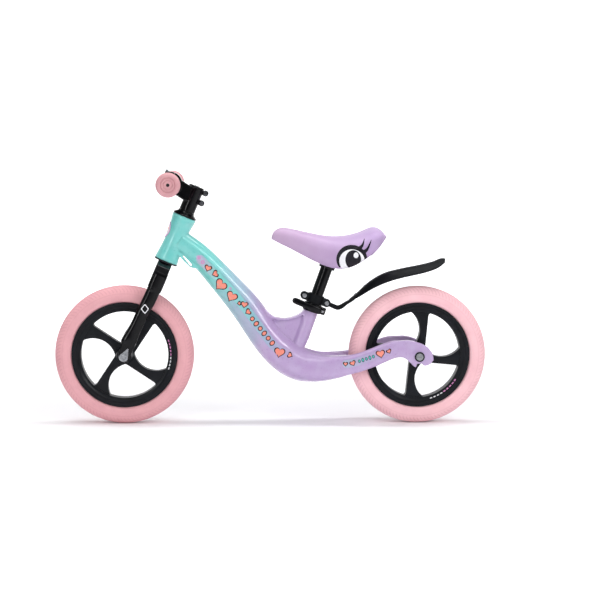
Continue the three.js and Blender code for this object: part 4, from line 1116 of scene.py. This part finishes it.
def bracket():
    """Post clamp in two halves; its rear ears hold the arm's eye."""
    body = ring("bracket", 13, 17.2, BRACKET_FOOT, BRACKET_TOP, SEAT, 0.8)
    for x, half in ((-BOLT_X, 8), (BOLT_X, 10)):
        inner, outer = sorted((x, math.copysign(14.5, x)))
        ear = disc("ear", 8.4, -half, half, bracket_bolt_place(x), 1)
        arm = block((inner, -half, BOLT_Z - 8), (outer, half, BOLT_Z + 8), SEAT)
        joined(body, ear, eased(arm, 0.8, segments=2))
    cut(body, block((13, -EYE_HALF - 0.3, 15), (45, EYE_HALF + 0.3, 50), SEAT), disc("post", 13, 0, 60, SEAT),
        *[hole(BOLT_HOLE, bracket_bolt_place(x)) for x in (-BOLT_X, BOLT_X)])
    halves = []
    for name, side in SIDES:
        low, high = y_range(side, 0.6, 40)
        half = common(copied(body, f"{name}_bracket_half"), block((-60, low, 0), (60, high, 60), SEAT))
        halves.append((name, half))
    bpy.data.objects.remove(body)
    return halves


for name, half in bracket():
    piece(half, GUARD, "frame", f"mudguard_bracket_{name}")
for name, x, reach in (("front", -BOLT_X, 10.8), ("rear", BOLT_X, 12.8)):
    place = bracket_bolt_place(x)
    screw = socket_screw(f"bracket_{name}_screw", place, 2.5, 4.6, -reach, reach - 2.5, reach, 3)
    joined(screw, hexagon("nut", 8.6, -reach, 2.5 - reach, place))
    piece(screw, STEEL, "frame", f"bracket_bolt_{name}")

# Blade's crown line: [x, z, half width, drop of the edges].
BLADE = [
    (163, 260, 11, 2), (178, 272, 16, 6), (206, 297.5, 22, 13), (236, 315, 24.5, 16.5), (268, 324, 25, 16),
    (312, 333, 25, 15), (338, 339.5, 24.5, 13), (354, 346, 22.5, 10), (364.5, 347, 18, 7),
]
BLADE_SCREWS = (("front", 176.5, 270.5, 0.72), ("rear", 196, 288.5, 0.76))
BLADE_THICK = 3


def blade():
    """Curved sheet, thicker along its rolled edges, with a low rib down the middle."""
    steps, sides = 110, 84
    rows = along(BLADE, steps)
    run = np.linspace(0, 1, steps)
    round_off = np.sqrt(np.clip(1 - np.clip((0.05 - np.minimum(run, 1 - run)) / 0.05, 0, 1) ** 2, 0.12, 1))
    angle = 2 * math.pi * np.arange(sides) / sides
    across, face = (np.sign(share) * np.abs(share) ** power
                    for share, power in ((np.cos(angle), 0.55), (np.sin(angle), 0.35)))
    rolled = 0.22 * np.exp(-((np.abs(across) - 0.93) / 0.05) ** 2)
    rib = 0.5 * np.exp(-(across / 0.10) ** 2) * (face > 0)
    half = rows[:, 2, None] * round_off[:, None]
    lift = -rows[:, 3, None] * (across * round_off[:, None]) ** 2
    lift = lift + (face * BLADE_THICK / 2 * (0.78 + rolled) + rib) * round_off[:, None] ** 0.5
    return tube("mudguard_sheet", rows, headings(rows[:, :2]), half * across, lift)


def blade_screw_place(x, z, slope):
    return at(x, 0, z) @ Matrix.Rotation(-slope, 4, "Y")


def blade_screw_holes():
    return [hole(SCREW_HOLE, blade_screw_place(*spot), 0.2, 32) for _, *spot in BLADE_SCREWS]


def guard_arm():
    """Moulded strap: an eye on the bracket's bolt, a bend, then a tongue under the blade."""
    x, z = GUARD_PIVOT.x, GUARD_PIVOT.z
    body = loft("mudguard_strap", [
        (x + 4, z - 2, 9, 9.6), (131, 246, 9.5, 11), (139, 243.4, 9.5, 13), (147, 246, 9, 15),
        (157, 253, 7, 17), (170, 261, 6, 20), (186, 274.6, 4.2, 24), (203, 287.5, 3.6, 24),
    ], superellipse(4, 48), 80)
    joined(body, disc("eye", 8.2, -EYE_HALF, EYE_HALF, at(*GUARD_PIVOT) @ ALONG_Y, 0.8))
    melted(body, 0.9, 2)
    sides = [block((x - 20, low, z - 15), (x + 9, high, z + 15))
             for low, high in (y_range(1, EYE_HALF, 20), y_range(-1, EYE_HALF, 20))]
    return cut(body, *sides, hole(BOLT_HOLE, at(*GUARD_PIVOT) @ ALONG_Y), *blade_screw_holes())


piece(guard_arm(), GUARD, "mudguard", "mudguard_arm", angle=50)
piece(cut(blade(), *blade_screw_holes()), GUARD, "mudguard", "mudguard_blade", angle=50)
BLADE_SCREW = [(0, -7.5), (1.8, -7.5), (1.8, 1.2), (4, 1.2), (3.8, 2), (2.4, 2.9), (0, 3.2)]
for name, *spot in BLADE_SCREWS:
    place = blade_screw_place(*spot)
    screw = turned(f"{name}_blade_screw", BLADE_SCREW, place, 0.3, 40)
    cross = [block((-1.9, -0.35, 2.2), (1.9, 0.35, 5), place @ Matrix.Rotation(turn, 4, "Z"))
             for turn in (0.4, 0.4 + math.pi / 2)]
    piece(cut(screw, *cross), STEEL, "mudguard", f"blade_screw_{name}")

# ---- saddle --------------------------------------------------------------------------
# Outline: [x, top z, bottom z, half width] from nose to tail.
SADDLE = [
    (-1, 393, 387, 6), (2, 400.4, 385.8, 12.5), (5, 404, 384.3, 15.5), (10, 407.9, 381.7, 18),
    (18, 410.9, 377.5, 20.7), (34, 410.2, 370, 24.4), (56, 405.7, 358, 28.5), (80, 400.4, 345.5, 34),
    (105, 395.8, 333.6, 41.5),
    (130, 393.8, 326, 51), (155, 395.6, 326.6, 61), (180, 401.4, 337.4, 68), (204, 411.4, 355.2, 70),
    (214, 413.2, 364.3, 67), (222, 411.1, 373, 62), (229, 406.2, 382.5, 54), (234, 400.2, 389, 43),
    (237.5, 396, 392.5, 30),
]
HOLLOW_SPAN = (30, 206)
PLATE_LOW, PLATE_HIGH = 347, 351
SADDLE_SCREWS = ((96, -14), (96, 14), (146, -14), (146, 14))


def saddle_section(crown, skirt, sides=120):
    """Soft crown above, and below it a wall that runs down almost straight to the rim."""
    above, below = (even_section(superellipse(power, 400), sides) for power in (crown, skirt))
    share = np.clip(0.5 + above[:, 1:] / 0.5, 0, 1)
    section = below * (1 - share) + above * share
    section[:, 0] *= 1 - 0.07 * np.clip(-section[:, 1], 0, 1) ** 2
    return section


def saddle_loft(name, rows, crown, skirt, steps=120):
    stations = [(x, (top + low) / 2, top - low, 2 * half) for x, top, low, half in rows]
    return loft(name, stations, saddle_section(crown, skirt), steps, upright=True)


def inset(start, end, side, above, below):
    """The saddle's outline drawn in by a wall, from one x to another."""
    return [(x, top - above, low + below, half - side) for x, top, low, half in SADDLE if start < x < end]


def saddle_cover():
    """Moulded skin: full outer form, hollowed from below."""
    body = saddle_loft("saddle_pad", SADDLE, 2.3, 6)
    return cut(body, saddle_loft("hollow", inset(*HOLLOW_SPAN, 9, 20, -14), 3, 8, 60))


def saddle_screw_holes():
    return [disc("hole", SCREW_HOLE, 300, 364, at(x, y, 0), 0.2, 32) for x, y in SADDLE_SCREWS]


def saddle_base():
    """Plastic shell in the hollow, with ribs on its underside."""
    body = saddle_loft("saddle_shell", inset(*HOLLOW_SPAN, 9.3, 20.3, -14), 3, 8, 60)
    skirt = [(x, top, low + 5, half) for x, top, low, half in SADDLE]
    common(body, saddle_loft("skirt", skirt, 2.3, 6))
    return cut(body, block((0, -90, 250), (260, 90, PLATE_HIGH + 0.3)), *saddle_screw_holes())


def saddle_bracket():
    """Flat plate under the saddle with a socket for the post."""
    base = eased(block((84, -21, PLATE_LOW), (158, 21, PLATE_HIGH)), 3, 60)
    socket = common(disc("socket", 17, 100, 125, SEAT), block((0, -60, 200), (260, 60, PLATE_LOW + 1)))
    joined(base, socket)
    base.name = "saddle_mount"
    return cut(base, disc("post", 13, 60, 116.3, SEAT), *saddle_screw_holes())


SADDLE_PAD = saddle_cover()
piece(SADDLE_PAD, SKIN, "seat", "saddle_cover", angle=50)
piece(saddle_base(), BASE, "seat", "saddle_base")
piece(saddle_bracket(), BLACK, "seat", "saddle_bracket")
for number, (x, y) in enumerate(SADDLE_SCREWS, 1):
    flip = at(x, y, 0) @ Matrix.Scale(-1, 4, (0, 0, 1))
    screw = socket_screw(f"saddle_bolt_{number}", flip, 2, 3.7, -362, 0.3 - PLATE_LOW, 3 - PLATE_LOW)
    piece(screw, STEEL, "seat", f"saddle_screw_{number}")

# ---- printed decals ------------------------------------------------------------------
FILM_LOW, FILM_HIGH = -0.12, 0.1      # a film's underside and face, above the paint
INK_HIGH = 0.22
FILL_STEP = 1.6                       # the most between two rows of a filled shape


def surface(body):
    """The search tree that prints are laid on."""
    points = [vertex.co for vertex in body.data.vertices]
    return BVHTree.FromPolygons(points, [face.vertices for face in body.data.polygons])


class Prints:
    """All the shapes of one ink on one body, gathered into one piece."""

    def __init__(self, name, tree, look, slot, rides, high):
        self.name, self.tree, self.look, self.slot, self.rides, self.high = name, tree, look, slot, rides, high
        self.points, self.faces = [], []

    def lay(self, rows, aim, wrap_rows, wrap_columns):
        """Lays rows of (flat points, height) on the surface as one closed skin."""
        first = len(self.points)
        for row, height in rows:
            for flat in row:
                start, ray = aim(*flat)
                spot, normal, _, _ = self.tree.ray_cast(start, ray)
                if spot is None:
                    spot, normal, _, _ = self.tree.find_nearest(start + ray * 0.14)
                out = (normal - ray).normalized()
                self.points.append((spot + out * height * MM) / MM)
        count = len(rows[0][0])
        faces = grid_faces(len(rows), count, wrap_rows, wrap_columns)
        if not wrap_rows:
            faces += [tuple(range(count)), tuple(range((len(rows) - 1) * count, len(rows) * count))]
        if not wrap_columns:
            faces += [tuple(row * count + column for row in range(len(rows))) for column in (0, count - 1)]
        self.faces += [tuple(first + corner for corner in face) for face in faces]

    def fill(self, outline, aim):
        """A filled shape, from its middle out to its outline."""
        middle = np.mean(outline, axis=0)
        reach = np.array(outline) - middle
        scales = np.linspace(0.1, 1, max(4, math.ceil(np.linalg.norm(reach, axis=1).max() / FILL_STEP)))
        rows = [(middle + reach * scale, FILM_LOW) for scale in scales]
        rows += [(middle + reach * scale, self.high) for scale in reversed(scales)]
        self.lay(rows, aim, False, True)

    def line(self, outline, aim, inner):
        """A closed line just inside an outline."""
        middle = np.mean(outline, axis=0)
        rows = [(middle + (np.array(outline) - middle) * scale, height)
                for scale, height in ((inner, FILM_LOW), (1, FILM_LOW), (1, self.high), (inner, self.high))]
        self.lay(rows, aim, True, True)

    def band(self, path, widths, aim, across=6):
        """A strip along a path of (x, z) points."""
        path = np.array(path)
        heading = headings(path)
        out = np.stack([-heading[:, 1], heading[:, 0]], axis=1) * np.array(widths)[:, None] / 2
        shares = np.linspace(-1, 1, across)
        rows = [(path + out * share, FILM_LOW) for share in shares]
        rows += [(path + out * share, self.high) for share in reversed(shares)]
        self.lay(rows, aim, True, False)

    def finish(self):
        body = new_object(self.name, self.points, self.faces)
        piece(body, self.look, self.rides, slot=self.slot, angle=50)


def print_set(tree, slot, rides, **looks):
    """The prints of one body: a look and a height for each name."""
    return [Prints(name, tree, look, slot, rides, high) for name, (look, high) in looks.items()]


def finish(prints):
    for one in prints:
        one.finish()


def sideways(side):
    """Aims from a point (x, z) beside the bike straight at its middle plane."""
    return lambda x, z: (Vector((x, side * 150, z)) * MM, Vector((0, -side, 0)))


def heart(x, z, width, turn=-45, points=40):
    """Outline of a heart, turned anticlockwise from upright."""
    angle = 2 * math.pi * np.arange(points) / points
    across = 16 * np.sin(angle) ** 3
    up = 13 * np.cos(angle) - 5 * np.cos(2 * angle) - 2 * np.cos(3 * angle) - np.cos(4 * angle) + 2
    scale = width / 32
    turn = math.radians(turn)
    cos, sin = math.cos(turn), math.sin(turn)
    return [(x + scale * (a * cos - b * sin), z + scale * (a * sin + b * cos)) for a, b in zip(across, up)]


def oval(x, z, half_width, half_height=None, turn=0.0, points=32):
    half_height = half_height or half_width
    cos, sin = math.cos(turn), math.sin(turn)
    return [(x + half_width * math.cos(a) * cos - half_height * math.sin(a) * sin,
             z + half_width * math.cos(a) * sin + half_height * math.sin(a) * cos)
            for a in np.arange(points) * 2 * math.pi / points]


# Hearts on each side: x, z, width, turn.
TUBE_HEARTS = [
    (-133.7, 326.8, 16.5, -20), (-119.5, 315.5, 16, -70), (-108.5, 291.5, 27.5, -45), (-85, 267.5, 25, -30),
    (-69.5, 254.5, 10, -80), (-57.9, 251.2, 16.5, -10), (-50.8, 236.4, 14.5, -60), (15.2, 151.3, 24, -12),
    (38, 146.4, 13, 60),
]
TUBE_RINGS = [(-151.8, 349.1, 3.1), (-144.4, 340, 3.9), (-87.2, 285.2, 2.8)]
TUBE_BEADS = [(-41.4, 222.3), (0.3, 171.8), 6, 4.9, 6.6, -0.88]
STAY_HEARTS = [(152.6, 129.4, 11.5, 0), (168, 131, 14, 25), (225.7, 150.5, 20, 12), (243.2, 156.2, 12, 30)]
STAY_BEADS = [(181.5, 136), (210.5, 145.8), 5, 2.9, 4.6, 0.33]


def beads(start, end, count, wide, tall, turn):
    """Row of plain ovals that stands where a name would be."""
    return [oval(x, z, wide, tall * (1 if number % 2 else 0.8), turn)
            for number, (x, z) in enumerate(np.linspace(start, end, count))]


def film_band(film, path, reach, aim, steps=60):
    """A round-ended film along the middle of a panel."""
    line = along(path, steps)
    count = np.arange(steps)
    ends = np.minimum(count, count[::-1]) * np.linalg.norm(line[-1] - line[0]) / (steps - 1)
    round_end = np.sqrt(np.clip(1 - np.clip(1 - ends / reach, 0, 0.97) ** 2, 0, 1))
    film.band(line, 2 * reach * round_end, aim, 7)


FILM_INSET = 1.2
FRAME_SKIN = surface(FRAME_BODY)
TUBE_FILM, STAY_FILM, CORAL_PRINT, DARK_PRINT, ROSE_PRINT, TEAL_PRINT = FRAME_PRINTS = print_set(
    FRAME_SKIN, "frame_paint", "frame",
    tube_film=(MINT_FILM, FILM_HIGH), stay_film=(LILAC_FILM, FILM_HIGH), frame_print_coral=(CORAL, INK_HIGH),
    frame_print_dark=(DARK_INK, INK_HIGH + 0.08), frame_print_rose=(ROSE_INK, INK_HIGH),
    frame_print_teal=(TEAL_INK, INK_HIGH))
for side in (-1, 1):
    aim = sideways(side)
    film_band(TUBE_FILM, TUBE_PANEL, TUBE_PANEL_RADIUS - FILM_INSET, aim)
    film_band(STAY_FILM, STAY_PANEL, STAY_PANEL_RADIUS - FILM_INSET, aim)
    for row in TUBE_HEARTS + STAY_HEARTS:
        CORAL_PRINT.fill(heart(*row), aim)
        DARK_PRINT.line(heart(*row), aim, 1 - 4.4 / row[2])
    for row, prints, inner in ((TUBE_BEADS, CORAL_PRINT, 0.68), (STAY_BEADS, TEAL_PRINT, 0.72)):
        for bead in beads(*row):
            prints.fill(bead, aim)
            DARK_PRINT.line(bead, aim, inner)
    for x, z, radius in TUBE_RINGS:
        ROSE_PRINT.line(oval(x, z, radius), aim, 0.45)
finish(FRAME_PRINTS)


# Head badge: an oval plate on the front of the head tube with a heart on it.
def frontwards(across, height):
    """Aims from in front of the head tube, in its own across and height."""
    start = HEAD @ Vector((-60, across, height))
    return start * MM, (HEAD.to_3x3() @ Vector((1, 0, 0))).normalized()


BADGE_HEIGHT = 62
BADGE = print_set(FRAME_SKIN, "frame_paint", "frame", badge_plate=(WHITE_INK, 1.2), badge_heart=(CORAL, 1.5),
                  badge_rim=(ROSE_INK, 1.3))
BADGE[0].fill(oval(0, BADGE_HEIGHT, 12.5, 17), frontwards)
BADGE[1].fill(heart(0, BADGE_HEIGHT + 2, 15, 0), frontwards)
BADGE[2].line(oval(0, BADGE_HEIGHT, 12.6, 17.1), frontwards, 0.95)
finish(BADGE)

# Saddle eye: plain drawing of an eye on each side of the saddle.
EYE = (163, 347.5)
LID_TURNS = np.radians(np.linspace(214, -12, 44))
LID = [(EYE[0] + 28.5 * math.cos(turn), EYE[1] + 27 * math.sin(turn)) for turn in LID_TURNS]
LASHES = (((176, 371), (183.5, 378.5), (188.5, 392)), ((186.5, 364), (194.5, 372.5), (202, 390)))
RIM_LINE = np.array([(row[0], row[2] + 3.5) for row in SADDLE])
EYE_WHITE, EYE_DARK, EYE_GLINT = EYE_PRINTS = print_set(
    surface(SADDLE_PAD), "saddle_skin", "seat", saddle_eye_white=(WHITE_INK, INK_HIGH),
    saddle_eye_dark=(DARK_INK, INK_HIGH + 0.12), saddle_eye_glint=(WHITE_INK, INK_HIGH + 0.24))


def above_rim(outline):
    """An outline cut off where it would run past the saddle's lower edge."""
    return [(x, max(z, float(np.interp(x, *RIM_LINE.T)))) for x, z in outline]


for side in (-1, 1):
    aim = sideways(side)
    EYE_WHITE.fill(above_rim(oval(*EYE, 27, 25.5, points=72)), aim)
    EYE_DARK.fill(above_rim(oval(EYE[0] + 2.5, EYE[1] + 1, 16, 20, points=56)), aim)
    EYE_GLINT.fill(oval(EYE[0] + 8, EYE[1] + 10.5, 5, 6), aim)
    EYE_DARK.band(above_rim(LID), 3 + 6 * np.sin(np.linspace(0.1, 2.9, len(LID))), aim)
    for foot, bend, tip in LASHES:
        EYE_DARK.band(along([foot, bend, tip], 14), np.linspace(9, 0.8, 14), aim)
finish(EYE_PRINTS)

# Rim marks: rows of dashes round part of each rim, and a diamond on each fork leg.
for name, hub, turns in (("front", FRONT_HUB, (-17, 18)), ("rear", REAR_HUB, (-72, -34))):
    body = f"{name}_wheel"
    marks = print_set(surface(RIMS[name]), "rim_black", body, **{
        f"{body}_marks_1": (WHITE_INK, INK_HIGH), f"{body}_marks_2": (ROSE_INK, INK_HIGH)})
    for number, turn in enumerate(np.linspace(*turns, 9)):
        dash = arc(hub.x, hub.z, 96.5, *np.radians((turn - 1.4, turn + 1.4)), 5)
        for side in (-1, 1):
            marks[number >= 4].band(dash, np.full(6, 2), sideways(side))
    finish(marks)
FORK_DIAMOND = [(-263.3, 256), (-255, 245), (-263.3, 234), (-271.6, 245)]
FORK_MARKS = print_set(surface(FORK_BODY), "black_paint", "steering", fork_mark=(WHITE_INK, INK_HIGH))
for side in (-1, 1):
    FORK_MARKS[0].line(filleted(FORK_DIAMOND, 2.5, 5), sideways(side), 0.76)
finish(FORK_MARKS)


# ---- camera, light and floor ---------------------------------------------------------
CAMERA_PLACE = (-0.1150, -3.2947, 0.5659)
YAW, PITCH, ROLL = (math.radians(angle) for angle in (3.03, 5.31, 0.35))
LENS, SENSOR = 94.55, 36


def studio():
    """The camera at the photo's place: turned right by the yaw, down by the pitch, then rolled."""
    ahead = Vector((math.sin(YAW) * math.cos(PITCH), math.cos(YAW) * math.cos(PITCH), -math.sin(PITCH)))
    right = Vector((math.cos(YAW), -math.sin(YAW), 0))
    over = right.cross(ahead)
    tilted = right * math.cos(ROLL) + over * math.sin(ROLL)
    upright = over * math.cos(ROLL) - right * math.sin(ROLL)
    camera = in_scene("camera", bpy.data.cameras.new("camera"))
    camera.data.lens = LENS
    camera.data.sensor_width = SENSOR
    camera.matrix_world = at(*CAMERA_PLACE) @ Matrix((tilted, upright, -ahead)).transposed().to_4x4()
    bpy.context.scene.camera = camera


def lamp(name, place, target, width, height, power):
    light = bpy.data.lights.new(name, "AREA")
    light.shape = "RECTANGLE"
    light.size = width
    light.size_y = height
    light.energy = power
    holder = in_scene(name, light)
    holder.location = place
    holder.rotation_euler = (Vector(target) - Vector(place)).to_track_quat("-Z", "Y").to_euler()


def floor():
    """A pale sweep: flat floor that curves up into a self-lit wall far behind."""
    side, front, bend, curve, top = 7, -9, 4.8, 1.2, 3.5
    profile = [(front, 0), *arc(bend, curve, curve, 1.5 * math.pi, 2 * math.pi, 15), (bend + curve, top)]
    points = [(x, y, z) for x in (-side, side) for y, z in profile]
    sweep = new_object("floor", np.array(points) / MM, grid_faces(2, len(profile), wrap_columns=False))
    look = Look("floor_paper")
    paper = look.mix(look.noise(3, 3), (248, 248, 250), (244, 244, 247))
    sweep.data.materials.append(look.finish(paper, (0.85, 0.95, 40)))
    look.drive("Emission Strength", look.spread(look.axis("Y"), 0, 0.7, 0.3, 2.2))
    look.shader.inputs["Emission Color"].default_value = (1, 1, 1, 1)
    sweep.data.shade_smooth()


def sky():
    """White surroundings, dim at the horizon and brighter overhead."""
    world = bpy.data.worlds.new("studio")
    world.use_nodes = True
    tree = world.node_tree
    up = tree.nodes.new("ShaderNodeSeparateXYZ")
    tree.links.new(tree.nodes.new("ShaderNodeTexCoord").outputs["Generated"], up.inputs[0])
    ramp = tree.nodes.new("ShaderNodeMapRange")
    for socket, value in (("From Min", 0), ("From Max", 0.8), ("To Min", 0.16), ("To Max", 0.5)):
        ramp.inputs[socket].default_value = value
    tree.links.new(up.outputs["Z"], ramp.inputs["Value"])
    background = tree.nodes["Background"].inputs
    background["Color"].default_value = (1, 1, 1, 1)
    tree.links.new(ramp.outputs[0], background["Strength"])
    bpy.context.scene.world = world


studio()
floor()
sky()
bpy.context.scene.view_settings.view_transform = "Standard"
lamp("overhead", (0, 0.05, 2.3), (0, 0, 0), 2.6, 0.35, 34)
lamp("front_strip", (0, -1.8, 1.9), (0, 0, 0.25), 2.8, 0.25, 13)
lamp("left_strip", (-1.45, -2.2, 0.9), (0, 0, 0.3), 0.12, 1.4, 11)
lamp("right_box", (1.4, -1.35, 1.25), (0, 0, 0.25), 0.35, 1.0, 11)
